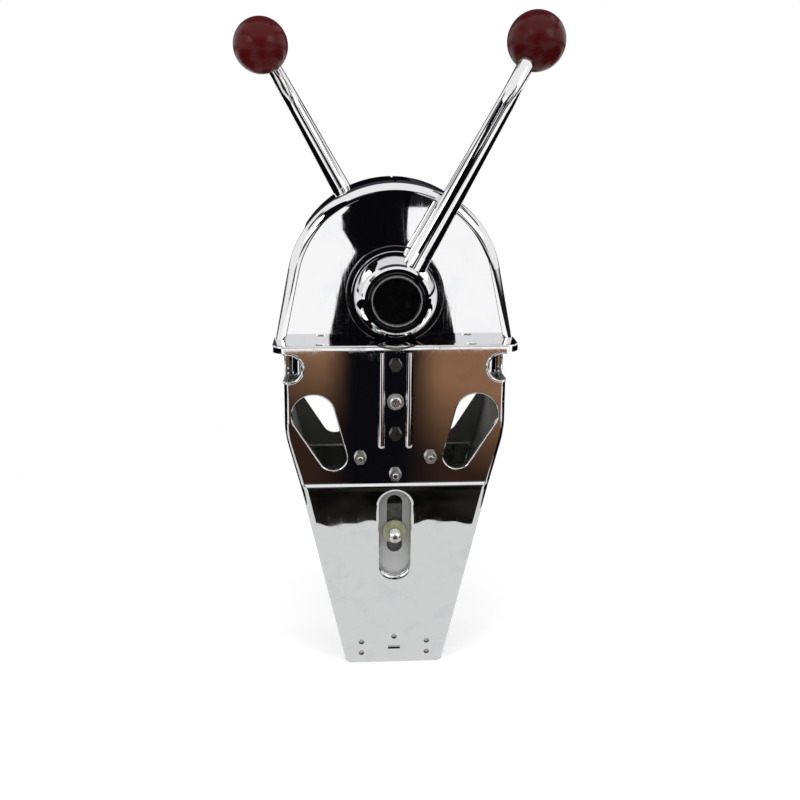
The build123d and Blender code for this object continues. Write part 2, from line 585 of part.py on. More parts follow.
def rod():
    """Flared root, long taper, bend towards the mid-plane and short straight end."""
    root_end, bend_end = ROD_START + ROD_FLARE_LENGTH, ROD_STRAIGHT + ROD_ARC
    root = loft([rod_section(ROD_START + ROD_FLARE_LENGTH * k / 3) for k in range(4)])
    taper = loft([rod_section(root_end), rod_section(ROD_STRAIGHT)], ruled=True)
    curve = loft([rod_section(ROD_STRAIGHT + ROD_ARC * k / 5) for k in range(6)])
    return root + taper + curve + loft([rod_section(bend_end), rod_section(ROD_END)], ruled=True)


def leaned(shape):
    return at_pivot(Rot(0, LEVER_LEAN, 0) * shape)


def hub_outline():
    base, ring = HUB_DIAMETER / 2, HUB_RING_DIAMETER / 2
    collar, shoulder = HUB_BACK + HUB_COLLAR, base - HUB_SHOULDER
    neck, rim = HUB_FRONT - HUB_RING_CHAMFER, ring + HUB_RING_CHAMFER
    back = Polyline((0, -HUB_BACK), (base - HUB_BACK_CHAMFER, -HUB_BACK),
                    (base, -HUB_BACK - HUB_BACK_CHAMFER), (base, -collar), (shoulder, -collar))
    side = ThreePointArc((shoulder, -collar), (base - HUB_ROUNDING, EMBED - (HUB_FRONT + collar) / 2),
                         (rim, -neck))
    front = Polyline((rim, -neck), (ring, -HUB_FRONT), (0, -HUB_FRONT), (0, -HUB_BACK))
    return make_face(back + side + front)


def lever():
    """Hub and rod, cast in one."""
    spigot = rod_plane(ROD_END) * Cylinder(KNOB_SPIGOT_DIAMETER / 2, KNOB_SPIGOT_LENGTH,
                                           align=(Align.CENTER, Align.CENTER, Align.MIN))
    whole = revolve(hub_outline(), Axis.Y) + rod() + spigot
    whole -= along_y(NOSE_DIAMETER / 2 + NOSE_ROOM, HUB_BACK - CUT_PAST, HUB_HOLLOW_FLOOR - HUB_FLOOR)
    whole -= along_y(CAP_BORE_RADIUS, HUB_HOLLOW_FLOOR, HUB_FRONT + HUB_DIAMETER)
    whole -= along_y(SHAFT_RADIUS + PRESS_GAP, HUB_BACK, HUB_FRONT)
    return leaned(whole)


def knob():
    """Ball with a flat that meets the rod's end and a bore for the spigot."""
    seat = Plane(rod_plane(ROD_END + KNOB_SEAT).origin, x_dir=(1, 0, 0), z_dir=rod_plane(ROD_END).z_dir)
    ball = Sphere(KNOB_DIAMETER / 2)
    ball -= Pos(0, 0, -KNOB_SEAT) * Box(KNOB_DIAMETER, KNOB_DIAMETER, KNOB_DIAMETER,
                                        align=(Align.CENTER, Align.CENTER, Align.MAX))
    bore = Cylinder(KNOB_SPIGOT_DIAMETER / 2 + PRESS_GAP, KNOB_SPIGOT_LENGTH + CUT_PAST,
                    align=(Align.CENTER, Align.CENTER, Align.MIN))
    return leaned(seat * (ball - Pos(0, 0, -KNOB_SEAT) * bore))


def hub_cap():
    """Dished cap with a raised ridge round its bare centre disc."""
    edge, face = CAP_BORE_RADIUS - CAP_GAP, HUB_FRONT + CAP_PROUD
    ridge, low, back = edge - CAP_BORDER, face - CAP_RIDGE_HEIGHT, HUB_HOLLOW_FLOOR + CAP_GAP
    crest, bevel, under = ridge + CAP_RIDGE_WIDTH, CAP_WALL / 2, low - CAP_WALL
    return at_pivot(turned([(0, low), (ridge - CAP_RIDGE_HEIGHT, low), (ridge, face), (crest, face),
                            (crest + CAP_RIDGE_HEIGHT, low), (edge - bevel, low), (edge, low - bevel),
                            (edge, back), (edge - CAP_WALL, back), (edge - CAP_WALL, under), (0, under)]))


def shaft():
    """Main shaft with flats for the throttle pinion, a cross hole and a detent dimple."""
    end = HUB_HOLLOW_FLOOR - SHAFT_END_STEP
    body = along_y(SHAFT_RADIUS, SHAFT_END_GAP, end)
    flat_near = THROTTLE_PINION_OUT - THROTTLE_PINION_FACE - PULL_OUT - FLAT_SPARE
    for side in (-1, 1):
        body -= block(side * FLAT_ACROSS / 2, side * SHAFT_DIAMETER, flat_near,
                      THROTTLE_PINION_OUT + SCREW_GAP, -SHAFT_RADIUS, SHAFT_RADIUS)
    body -= Pos(0, -CLUTCH_PIN_PLACE, 0) * Cylinder(CLUTCH_PIN_DIAMETER / 2 + PRESS_GAP, 2 * SHAFT_DIAMETER)
    body -= along_y(HUB_SCREW_DIAMETER / 2 + SCREW_GAP, end - HUB_SCREW_LENGTH, end + CUT_PAST)
    ball = DETENT_BALL_DIAMETER / 2
    body -= Pos(0, -DETENT_PLACE, DETENT_DIMPLE - SHAFT_RADIUS - ball) * Sphere(ball)
    return leaned(body)


def clutch_pin():
    return leaned(Pos(0, -CLUTCH_PIN_PLACE, 0) * Cylinder(CLUTCH_PIN_DIAMETER / 2, CLUTCH_PIN_LENGTH))


def hub_washer():
    near, far = HUB_HOLLOW_FLOOR, HUB_HOLLOW_FLOOR + HUB_WASHER_THICKNESS
    return at_pivot(along_y(HUB_WASHER_DIAMETER / 2, near, far)
                    - along_y(HUB_SCREW_DIAMETER / 2 + SCREW_GAP, near - CUT_PAST, far + CUT_PAST))


def hub_screw():
    start = HUB_HOLLOW_FLOOR + HUB_WASHER_THICKNESS
    head = along_y(HUB_SCREW_HEAD_DIAMETER / 2, start, start + HUB_SCREW_HEAD_HEIGHT)
    socket = plate_in_front(Plane.XZ * RegularPolygon(HUB_SCREW_DIAMETER / 2, 6),
                            start + HUB_SCREW_HEAD_HEIGHT / 2, start + HUB_SCREW_HEAD_HEIGHT + CUT_PAST)
    return at_pivot(head + along_y(HUB_SCREW_DIAMETER / 2, start - HUB_SCREW_LENGTH, start) - socket)


# ---------------------------------------------------------------- pinions and racks

def involute_point(base, radius, sign, start):
    roll = math.sqrt((radius / base) ** 2 - 1)
    angle = start + sign * (roll - math.atan(roll))
    return (radius * math.sin(angle), radius * math.cos(angle))


def pinion_profile():
    """Sixteen involute teeth on Plane.XZ, with a space facing +X and -X."""
    base = PITCH_RADIUS * math.cos(math.radians(PRESSURE_ANGLE))
    tip, root = PITCH_RADIUS + TOOTH_ADDENDUM, PITCH_RADIUS - TOOTH_DEDENDUM
    pitch_roll = math.tan(math.radians(PRESSURE_ANGLE)) - math.radians(PRESSURE_ANGLE)
    half = math.pi / (2 * PINION_TEETH) - TOOTH_BACKLASH / 2 / PITCH_RADIUS + pitch_roll
    steps = 4
    points = []
    for tooth in range(PINION_TEETH):
        middle = math.tau * (tooth + 0.5) / PINION_TEETH
        points.append((root * math.sin(middle - half), root * math.cos(middle - half)))
        for k in range(steps + 1):
            radius = base + (tip - base) * k / steps
            points.append(involute_point(base, radius, 1, middle - half))
        for k in reversed(range(steps + 1)):
            radius = base + (tip - base) * k / steps
            points.append(involute_point(base, radius, -1, middle + half))
        points.append((root * math.sin(middle + half), root * math.cos(middle + half)))
    return Plane.XZ * make_face(Polyline(*points, close=True))


def throttle_pinion():
    """Rides on the shaft's flats, which slide through it when the hub is pulled."""
    near, far = THROTTLE_PINION_OUT - THROTTLE_PINION_FACE, THROTTLE_PINION_OUT
    bore = Circle(SHAFT_RADIUS + RUNNING_GAP) & Rectangle(FLAT_ACROSS + 2 * RUNNING_GAP, 2 * SHAFT_DIAMETER)
    cut = plate_in_front(Plane.XZ * bore, near - CUT_PAST, far + CUT_PAST)
    return at_pivot(plate_in_front(pinion_profile(), near, far) - Rot(0, LEVER_LEAN, 0) * cut)


def shift_pinion():
    """Free on the shaft; the clutch pin drops into its face slot at rest."""
    near, far = SHIFT_PINION_IN, SHIFT_PINION_IN + SHIFT_PINION_FACE
    gear = plate_in_front(pinion_profile(), near, far)
    gear -= along_y(SHAFT_RADIUS + RUNNING_GAP, near - CUT_PAST, far + CUT_PAST)
    half = CLUTCH_PIN_DIAMETER / 2 + CLUTCH_SLOT_GAP
    reach = PITCH_RADIUS + 2 * TOOTH_ADDENDUM
    slot = block(-half, half, CLUTCH_PIN_PLACE - half, far + CUT_PAST, -reach, reach)
    return at_pivot(gear - Rot(0, LEVER_LEAN, 0) * slot)


def rack_teeth(low, high):
    """Straight-sided teeth that point to -X, one centred at the shaft's height."""
    pitch = math.pi * GEAR_MODULE
    slope = math.tan(math.radians(PRESSURE_ANGLE))
    tip_x, root_x = PITCH_RADIUS - TOOTH_ADDENDUM, PITCH_RADIUS + TOOTH_DEDENDUM
    half = pitch / 4 - TOOTH_BACKLASH / 2
    tip_half, root_half = half - TOOTH_ADDENDUM * slope, half + TOOTH_DEDENDUM * slope
    first, last = math.ceil(low / pitch), math.floor(high / pitch)
    points = []
    for k in range(first, last + 1):
        z = PIVOT_HEIGHT + k * pitch
        points += [(root_x, z - root_half), (tip_x, z - tip_half),
                   (tip_x, z + tip_half), (root_x, z + root_half)]
    return points


def rack_profile(travel_down, travel_up):
    """Toothed bar on Plane.XZ that keeps in mesh over its travel, down to the foot plate."""
    spare = PITCH_RADIUS * RACK_SPARE
    points = rack_teeth(-travel_up - spare, travel_down + spare)
    top, neck = points[-1][1] + RACK_END, points[0][1] - RACK_END
    root_x = PITCH_RADIUS + TOOTH_DEDENDUM
    outline = [(RACK_OUTER, SLIDE_PIN_DROP), (RACK_INNER, SLIDE_PIN_DROP), (RACK_INNER, neck - RACK_NECK),
               (root_x, neck)]
    outline += points + [(root_x, top), (RACK_OUTER, top)]
    return Plane.XZ * make_face(Polyline(*outline, close=True))


def slide_foot(inner_x):
    """Foot plate with the cable eye; inner_x is how far it reaches past the rack."""
    outer = CABLE_EYE_REACH + SLIDE_EAR
    plate = RectangleRounded(outer - inner_x, SLIDE_FOOT_HEIGHT, SLIDE_FOOT_CORNER)
    return Plane.XZ * (Pos((inner_x + outer) / 2, SLIDE_PIN_DROP) * plate)


def slide_bar(near, inner_x, travel_down, travel_up):
    far = near + RACK_THICKNESS
    body = plate_in_front(rack_profile(travel_down, travel_up), near, far)
    body += plate_in_front(slide_foot(inner_x), near, far)
    eye = along_y(CABLE_EYE_DIAMETER / 2, near - CUT_PAST, far + CUT_PAST, CABLE_EYE_REACH, SLIDE_PIN_DROP)
    return body - eye


def slide_screw_hole(near, far):
    return along_y(SLIDE_SCREW_DIAMETER / 2 + SCREW_GAP, near - CUT_PAST, far + CUT_PAST, 0, SLIDE_PIN_DROP)


def throttle_rack():
    near = THROTTLE_RACK_OUT - RACK_THICKNESS
    bar = slide_bar(near, -SHOE_HALF_WIDTH - SHOE_LAP, SLIDE_DOWN, SLIDE_UP)
    return bar - slide_screw_hole(near, THROTTLE_RACK_OUT)


def shift_rack():
    return mirror(slide_bar(SHIFT_RACK_IN, RACK_INNER, SLIDE_UP, SLIDE_DOWN), Plane.YZ)


def slide_shoe():
    near, far = THROTTLE_RACK_OUT, FLOOR_INSIDE - SLIDE_GAP
    plate = RectangleRounded(2 * SHOE_HALF_WIDTH, 2 * SHOE_HALF_HEIGHT, SHOE_CORNER)
    shape = plate_in_front(Pos(0, 0, SLIDE_PIN_DROP) * (Plane.XZ * plate), near, far)
    return shape - slide_screw_hole(near, far)


def slide_washer():
    """Nylon washer on the recess floor, with a shoulder that runs in the slot."""
    near, far = RECESS_FLOOR_DEPTH + WASHER_GAP, RECESS_FLOOR_DEPTH + WASHER_GAP + WASHER_THICKNESS
    shape = along_y(WASHER_DIAMETER / 2, near, far, 0, SLIDE_PIN_DROP)
    shape = fillet(shape.edges().group_by(Axis.Y)[0], WASHER_EDGE_RADIUS)
    shoulder_in = FLOOR_INSIDE - SLIDE_GAP
    shape += along_y(WASHER_SHOULDER_DIAMETER / 2, shoulder_in, near + WASHER_GAP, 0, SLIDE_PIN_DROP)
    return shape - slide_screw_hole(shoulder_in, far)


def slide_screw():
    head = RECESS_FLOOR_DEPTH + WASHER_GAP + WASHER_THICKNESS
    tail = THROTTLE_RACK_OUT - RACK_THICKNESS - NUT_HEIGHT - SLIDE_SCREW_TAIL
    shank = along_y(SLIDE_SCREW_DIAMETER / 2, tail, head, 0, SLIDE_PIN_DROP)
    cap = along_y(SLIDE_SCREW_HEAD_DIAMETER / 2, head, head + SLIDE_SCREW_HEAD_HEIGHT, 0, SLIDE_PIN_DROP)
    return shank + fillet(cap.edges().group_by(Axis.Y)[0], SLIDE_SCREW_HEAD_ROUND)


def hexagon(near, height, x, z):
    """Hexagon along Y, its corners turned off."""
    prism = plate_in_front(Pos(x, 0, z) * (Plane.XZ * RegularPolygon(HEX_ACROSS / 2, 6, major_radius=False)),
                           near, near + height)
    return prism & along_y(HEX_ACROSS / 2 * HEX_ROUNDING, near, near + height, x, z)


def hex_nut(near, x, z, screw_diameter):
    return hexagon(near, NUT_HEIGHT, x, z) - along_y(
        screw_diameter / 2 + THREAD_GAP, near - CUT_PAST, near + NUT_HEIGHT + CUT_PAST, x, z)


def slide_nut():
    back = THROTTLE_RACK_OUT - RACK_THICKNESS
    return hex_nut(back - NUT_HEIGHT, 0, SLIDE_PIN_DROP, SLIDE_SCREW_DIAMETER)


# ---------------------------------------------------------------- bushes, centre plate and detent

def shaft_bush():
    near, far = INNER_WALL, PAD_FACE + NOSE_LENGTH
    return at_pivot(along_y(BUSH_DIAMETER / 2, near, far)
                    - along_y(SHAFT_RADIUS + RUNNING_GAP, near - CUT_PAST, far + CUT_PAST))


def detent_bore():
    return Pos(0, -DETENT_PLACE, DETENT_FOOT - CUT_PAST) * Cylinder(
        DETENT_BORE_DIAMETER / 2, PIVOT_HEIGHT - DETENT_FOOT, align=(Align.CENTER, Align.CENTER, Align.MIN))


def tail_bush():
    near, far = CENTRE_PLATE_THICKNESS / 2 + SHAFT_END_ROOM, CENTRE_BOSS_FACE
    tube = at_pivot(along_y(TAIL_BUSH_DIAMETER / 2, near, far)
                    - along_y(SHAFT_RADIUS + RUNNING_GAP, near - CUT_PAST, far + CUT_PAST))
    return tube - detent_bore()


def bearing_boss():
    """Boss on the centre plate, with the detent's upright spout below it."""
    half, spout = CENTRE_PLATE_THICKNESS / 2, DETENT_SPOUT_DIAMETER / 2
    boss = at_pivot(along_y(CENTRE_BOSS_DIAMETER / 2, 0, CENTRE_BOSS_FACE))
    boss += Pos(0, -DETENT_PLACE, DETENT_FOOT) * Cylinder(spout, SHAFT_UNDERSIDE - DETENT_FOOT,
                                                          align=(Align.CENTER, Align.CENTER, Align.MIN))
    web = block(-DETENT_WEB / 2, DETENT_WEB / 2, half - EMBED, DETENT_PLACE, DETENT_FOOT, SHAFT_UNDERSIDE)
    return boss + web


def bearing_bore():
    floor = CENTRE_PLATE_THICKNESS / 2 + SHAFT_END_ROOM
    bush_bore = along_y(TAIL_BUSH_DIAMETER / 2 + PRESS_GAP, floor, CENTRE_BOSS_FACE + CUT_PAST)
    shaft_room = along_y(SHAFT_RADIUS + SHAFT_END_ROOM, SHAFT_END_GAP - SHAFT_END_ROOM, CENTRE_BOSS_FACE)
    return at_pivot(bush_bore + shaft_room)


def centre_plate():
    """Bearing plate between the two modules, hung from the housing's end lugs."""
    half, low, high = CENTRE_PLATE_LENGTH / 2, CENTRE_PLATE_LIFT, CENTRE_PLATE_HEAD
    slope, crown, top = half - CENTRE_PLATE_CHEEK, CENTRE_PLATE_CROWN / 2, PIVOT_HEIGHT + CENTRE_PLATE_RISE
    thick = CENTRE_PLATE_THICKNESS
    outline = Polyline((-half, low), (half, low), (half, high), (slope, high), (crown, top),
                       (-crown, top), (-slope, high), (-half, high), close=True)
    body = plate_in_front(Plane.XZ * make_face(outline), -thick / 2, thick / 2)
    body += bearing_boss()
    body += half_turn(bearing_boss())
    for cut in (bearing_bore(), detent_bore()):
        body -= cut
        body -= half_turn(cut)
    for side in (-1, 1):
        body -= Pos(side * CENTRE_SCREW_X, 0, 0) * screw_hole(CENTRE_PLATE_HEAD + CUT_PAST)
    return body


def detent_ball():
    radius = DETENT_BALL_DIAMETER / 2
    return Pos(0, -DETENT_PLACE, SHAFT_UNDERSIDE - DETENT_BALL_GAP - radius) * Sphere(radius)


def detent_spring():
    """Compression spring between the plug and the ball."""
    low = DETENT_FOOT + DETENT_PLUG_HEIGHT + DETENT_BALL_GAP
    high = SHAFT_UNDERSIDE - DETENT_BALL_DIAMETER - 2 * DETENT_BALL_GAP
    height = high - low - DETENT_WIRE_DIAMETER
    coil = Helix(pitch=height / DETENT_COILS, height=height, radius=DETENT_COIL_RADIUS)
    wire = sweep(Plane(coil @ 0, z_dir=coil % 0) * Circle(DETENT_WIRE_DIAMETER / 2), coil, is_frenet=True)
    return Pos(0, -DETENT_PLACE, low + DETENT_WIRE_DIAMETER / 2) * wire


def detent_plug():
    plug = Cylinder(DETENT_PLUG_DIAMETER / 2, DETENT_PLUG_HEIGHT,
                    align=(Align.CENTER, Align.CENTER, Align.MIN))
    socket = extrude(RegularPolygon(DETENT_SOCKET_RADIUS, 6), amount=DETENT_PLUG_HEIGHT / 2)
    return Pos(0, -DETENT_PLACE, DETENT_FOOT) * (plug - socket)


def centre_screw(side):
    place = Pos(side * CENTRE_SCREW_X, 0, CENTRE_PLATE_LIFT)
    head = Cylinder(CENTRE_SCREW_HEAD_DIAMETER / 2, CENTRE_SCREW_HEAD_HEIGHT,
                    align=(Align.CENTER, Align.CENTER, Align.MAX))
    shank = Cylinder(FRAME_SCREW_DIAMETER / 2, CENTRE_SCREW_LENGTH,
                     align=(Align.CENTER, Align.CENTER, Align.MIN))
    return place * (head + shank)


def frame_screw(side):
    place = Pos(side * PILLAR_X, -PILLAR_OUT, -PILLAR_LENGTH)
    head = extrude(RegularPolygon(HEX_ACROSS / 2, 6, major_radius=False), amount=-FRAME_SCREW_HEAD_HEIGHT)
    shank = Cylinder(FRAME_SCREW_DIAMETER / 2, PILLAR_LENGTH + FRAME_SCREW_GRIP,
                     align=(Align.CENTER, Align.CENTER, Align.MIN))
    return place * (head + shank)


# ---------------------------------------------------------------- guides, friction pads and tie bolts

def guide_channel(side, near, wall_to):
    """Rail block round one rack and the channel cut in it."""
    gap, wall = GUIDE_GAP, GUIDE_RAIL_WALL
    inner, outer = side * (RACK_INNER - gap), side * (RACK_OUTER + gap)
    far = near + RACK_THICKNESS
    rail = block(inner - side * wall, outer + side * wall, near - gap - wall, wall_to, GUIDE_FOOT, GUIDE_TOP)
    channel = block(inner, outer, near - gap, far + gap, GUIDE_TAB_FOOT, GUIDE_TOP + CUT_PAST)
    return rail, channel


def guide_block():
    """Plastic block on the panel's inside that both racks slide in."""
    base_in = PANEL_INSIDE - GUIDE_BASE
    half, tab = GUIDE_HALF_WIDTH, GUIDE_TAB_HALF_WIDTH
    base = block(-half, half, base_in, PANEL_INSIDE, GUIDE_FOOT, GUIDE_TOP)
    base += block(-tab, tab, base_in, PANEL_INSIDE, GUIDE_TAB_FOOT, GUIDE_FOOT)
    base = fillet(base.edges().filter_by(Axis.Y), GUIDE_CORNER)
    for side, near in ((1, THROTTLE_RACK_OUT - RACK_THICKNESS), (-1, SHIFT_RACK_IN)):
        rail, channel = guide_channel(side, near, base_in + EMBED)
        base += rail
        base -= channel
    for x, z in GUIDE_SCREWS:
        base -= along_y(GUIDE_SCREW_DIAMETER / 2 + SCREW_GAP, base_in - CUT_PAST,
                        PANEL_INSIDE + CUT_PAST, x, z)
    return base


def guide_screw(place):
    x, z = place
    back = PANEL_INSIDE - GUIDE_BASE
    head = along_y(GUIDE_SCREW_HEAD_DIAMETER / 2, back - GUIDE_SCREW_HEAD_HEIGHT, back, x, z)
    shank = along_y(GUIDE_SCREW_DIAMETER / 2, back, FRAME_DEPTH + NUT_HEIGHT + GUIDE_SCREW_TAIL, x, z)
    return head + chamfer(shank.edges().group_by(Axis.Y)[0], GUIDE_SCREW_CHAMFER)


def guide_nut(place):
    return hex_nut(FRAME_DEPTH, *place, GUIDE_SCREW_DIAMETER)


def friction_screw():
    """Adjusting screw between the beads; its nose seats in the pad bar."""
    seat = FRAME_DEPTH + FRICTION_WASHER_THICKNESS
    face = seat + FRICTION_SCREW_HEAD_HEIGHT
    head = along_y(FRICTION_SCREW_HEAD_DIAMETER / 2, seat, face, 0, FRICTION_DROP)
    head = fillet(head.edges().group_by(Axis.Y)[0], FRICTION_SCREW_HEAD_ROUND)
    shank = along_y(FRICTION_SCREW_DIAMETER / 2, PAD_BAR_OUT, seat, 0, FRICTION_DROP)
    nose = along_y(FRICTION_SCREW_NOSE_DIAMETER / 2, PAD_BAR_OUT - FRICTION_SCREW_NOSE_LENGTH, PAD_BAR_OUT,
                   0, FRICTION_DROP)
    long, wide, floor = CROSS_RECESS_LENGTH / 2, CROSS_RECESS_WIDTH / 2, face - CROSS_RECESS_DEPTH
    cross = block(-long, long, floor, face + CUT_PAST, FRICTION_DROP - wide, FRICTION_DROP + wide) \
        + block(-wide, wide, floor, face + CUT_PAST, FRICTION_DROP - long, FRICTION_DROP + long)
    return head + shank + nose - cross


def friction_washer():
    near, far = FRAME_DEPTH, FRAME_DEPTH + FRICTION_WASHER_THICKNESS
    return along_y(FRICTION_WASHER_DIAMETER / 2, near, far, 0, FRICTION_DROP) \
        - along_y(FRICTION_SCREW_DIAMETER / 2 + SCREW_GAP, near - CUT_PAST, far + CUT_PAST, 0, FRICTION_DROP)


def friction_pad():
    """Bar across both racks, with a rubbing foot on each."""
    low, high = FRICTION_DROP - PAD_BAR_HEIGHT / 2, FRICTION_DROP + PAD_BAR_HEIGHT / 2
    body = block(-RACK_OUTER, RACK_OUTER, PAD_BAR_IN, PAD_BAR_OUT, low, high)
    body += block(RACK_INNER, RACK_OUTER, THROTTLE_RACK_OUT + PAD_GAP, PAD_BAR_IN, low, high)
    body += block(-RACK_OUTER, -RACK_INNER, SHIFT_RACK_IN + RACK_THICKNESS + PAD_GAP, PAD_BAR_IN, low, high)
    seat = along_y(FRICTION_SCREW_NOSE_DIAMETER / 2 + THREAD_GAP, PAD_BAR_OUT - FRICTION_SCREW_NOSE_LENGTH,
                   PAD_BAR_OUT + CUT_PAST, 0, FRICTION_DROP)
    return body - seat


def tie_bolt(drop):
    shank = along_y(TIE_BOLT_DIAMETER / 2, -FRAME_DEPTH - NUT_HEIGHT - TIE_BOLT_TAIL, FRAME_DEPTH, 0, drop)
    return hexagon(FRAME_DEPTH, TIE_BOLT_HEAD_HEIGHT, 0, drop) + shank


def tie_nut(drop):
    return half_turn(hex_nut(FRAME_DEPTH, 0, drop, TIE_BOLT_DIAMETER))


def tie_spacer(drop):
    far = PANEL_INSIDE + CUT_PAST
    return along_y(TIE_SPACER_DIAMETER / 2, -PANEL_INSIDE, PANEL_INSIDE, 0, drop) \
        - along_y(TIE_BOLT_DIAMETER / 2 + SCREW_GAP, -far, far, 0, drop)


# ---------------------------------------------------------------- write the nodes

os.makedirs("parts", exist_ok=True)


def write(name, shape):
    export_step(shape, f"parts/{name}.step")


write("housing", housing())
write("centre_plate", centre_plate())

per_module = {
    "frame_shell": frame_shell, "lever": lever, "knob": knob, "hub_cap": hub_cap, "shaft": shaft,
    "clutch_pin": clutch_pin, "hub_washer": hub_washer, "hub_screw": hub_screw,
    "throttle_pinion": throttle_pinion, "shift_pinion": shift_pinion, "throttle_rack": throttle_rack,
    "shift_rack": shift_rack, "slide_shoe": slide_shoe, "slide_washer": slide_washer,
    "slide_screw": slide_screw, "slide_nut": slide_nut, "shaft_bush": shaft_bush,
    "guide_block": guide_block,
}
for name, make in per_module.items():
    piece = make()
    write(f"front_{name}", piece)
    write(f"rear_{name}", half_turn(piece))

in_pairs = {
    "tail_bushes": [tail_bush()], "detent_balls": [detent_ball()], "detent_springs": [detent_spring()],
    "detent_plugs": [detent_plug()], "frame_screws": [frame_screw(-1), frame_screw(1)],
    "guide_screws": [guide_screw(place) for place in GUIDE_SCREWS],
    "guide_nuts": [guide_nut(place) for place in GUIDE_SCREWS],
    "friction_screws": [friction_screw()], "friction_washers": [friction_washer()],
    "friction_pads": [friction_pad()],
}
for name, pieces in in_pairs.items():
    write(name, both_modules(pieces))

write("centre_screws", Compound(children=[centre_screw(-1), centre_screw(1)]))
write("tie_bolts", Compound(children=[tie_bolt(drop) for drop in TIE_DROPS]))
write("tie_nuts", Compound(children=[tie_nut(drop) for drop in TIE_DROPS]))
write("tie_spacers", Compound(children=[tie_spacer(drop) for drop in TIE_DROPS]))
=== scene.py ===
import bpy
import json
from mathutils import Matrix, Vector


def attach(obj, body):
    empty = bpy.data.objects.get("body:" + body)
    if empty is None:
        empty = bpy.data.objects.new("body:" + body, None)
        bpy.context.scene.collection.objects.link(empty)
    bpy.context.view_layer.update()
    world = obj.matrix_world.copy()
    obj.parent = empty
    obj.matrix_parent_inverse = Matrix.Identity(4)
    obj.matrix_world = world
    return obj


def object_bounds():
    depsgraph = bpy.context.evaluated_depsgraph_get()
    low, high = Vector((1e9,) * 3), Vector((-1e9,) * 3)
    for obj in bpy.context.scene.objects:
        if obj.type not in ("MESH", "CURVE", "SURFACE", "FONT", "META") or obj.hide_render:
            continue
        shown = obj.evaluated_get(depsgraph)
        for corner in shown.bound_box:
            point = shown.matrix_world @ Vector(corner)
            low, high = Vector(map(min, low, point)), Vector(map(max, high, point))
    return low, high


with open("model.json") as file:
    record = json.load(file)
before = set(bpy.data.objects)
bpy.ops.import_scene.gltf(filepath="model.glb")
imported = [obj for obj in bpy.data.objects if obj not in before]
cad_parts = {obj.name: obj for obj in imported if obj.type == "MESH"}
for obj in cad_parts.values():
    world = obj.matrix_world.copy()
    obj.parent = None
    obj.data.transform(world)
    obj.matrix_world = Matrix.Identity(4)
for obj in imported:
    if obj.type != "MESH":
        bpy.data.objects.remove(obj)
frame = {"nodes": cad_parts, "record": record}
cadBox = [list(corner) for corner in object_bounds()]

import json
import math
import bmesh
import bpy
from mathutils import Matrix, Vector

nodes = frame["nodes"]
scene = bpy.context.scene
scene.view_settings.view_transform = "Standard"
print("stage: frame loaded,", len(nodes), "solids")

# camera in front of the control, a little to its left and looking slightly down
cameraSetup = {
    "place": (-0.031846, -0.645318, 0.149779),
    "right": (0.99840, -0.05635, 0.00506),
    "up": (0.01176, 0.29418, 0.95568),
    "ahead": (0.05534, 0.95409, -0.29437),
    "lens": 40.5,
    "sensor": 36.0,
    "nearest": 0.01,
    "farthest": 60,
}


def makeCamera(setup):
    data = bpy.data.cameras.new("viewCamera")
    data.sensor_fit = "HORIZONTAL"
    data.sensor_width = setup["sensor"]
    data.lens = setup["lens"]
    data.clip_start, data.clip_end = setup["nearest"], setup["farthest"]
    camera = bpy.data.objects.new("viewCamera", data)
    scene.collection.objects.link(camera)
    turn = Matrix((setup["right"], setup["up"], [-v for v in setup["ahead"]])).transposed()
    camera.matrix_world = Matrix.Translation(setup["place"]) @ turn.to_4x4()
    scene.camera = camera


makeCamera(cameraSetup)


# shader helpers, shared by materials, stage and world
def wire(tree, source, slot):
    tree.links.new(source, slot)


def feed(tree, value, slot):
    # a slot takes a constant, or a wire from another node
    if isinstance(value, (int, float, tuple)):
        slot.default_value = value
    else:
        wire(tree, value, slot)


def addNode(tree, kind, values=None, **settings):
    node = tree.nodes.new(kind)
    for key, value in settings.items():
        setattr(node, key, value)
    for key, value in (values or {}).items():
        node.inputs[key].default_value = value
    return node


def mathNode(tree, operation, first, second=None):
    node = addNode(tree, "ShaderNodeMath", operation=operation)
    feed(tree, first, node.inputs[0])
    if second is not None:
        feed(tree, second, node.inputs[1])
    return node.outputs[0]


def vectorNode(tree, operation, first, second=None):
    node = addNode(tree, "ShaderNodeVectorMath", operation=operation)
    feed(tree, first, node.inputs[0])
    if second is not None:
        feed(tree, second, node.inputs[1])
    return node.outputs["Value" if operation in ("DOT_PRODUCT", "LENGTH") else "Vector"]


def rampNode(tree, source, low, high, fromLow=0.0, fromHigh=1.0, smooth=False):
    node = addNode(tree, "ShaderNodeMapRange", interpolation_type="SMOOTHSTEP" if smooth else "LINEAR")
    wire(tree, source, node.inputs["Value"])
    for key, value in (("From Min", fromLow), ("From Max", fromHigh), ("To Min", low), ("To Max", high)):
        feed(tree, value, node.inputs[key])
    return node.outputs["Result"]


# how a ramp runs between its two places: value before, value after, eased or straight
rampRuns = {"rises": (0, 1, False), "falls": (1, 0, False), "easesIn": (0, 1, True), "easesOut": (1, 0, True)}


def rampProduct(tree, sources, ramps):
    total = None
    for source, run, fromLow, fromHigh in ramps:
        low, high, smooth = rampRuns[run]
        mask = rampNode(tree, sources[source], low, high, fromLow, fromHigh, smooth)
        total = mask if total is None else mathNode(tree, "MULTIPLY", total, mask)
    return total


def mixColours(tree, factor, first, second):
    # the node's colour slots are 6 and 7, and its colour comes out of 2
    node = addNode(tree, "ShaderNodeMix", data_type="RGBA")
    for value, slot in ((factor, 0), (first, 6), (second, 7)):
        feed(tree, value, node.inputs[slot])
    return node.outputs[2]


def mixShaders(tree, factor, first, second):
    node = addNode(tree, "ShaderNodeMixShader")
    for source, slot in zip((factor, first, second), node.inputs):
        wire(tree, source, slot)
    return node.outputs[0]


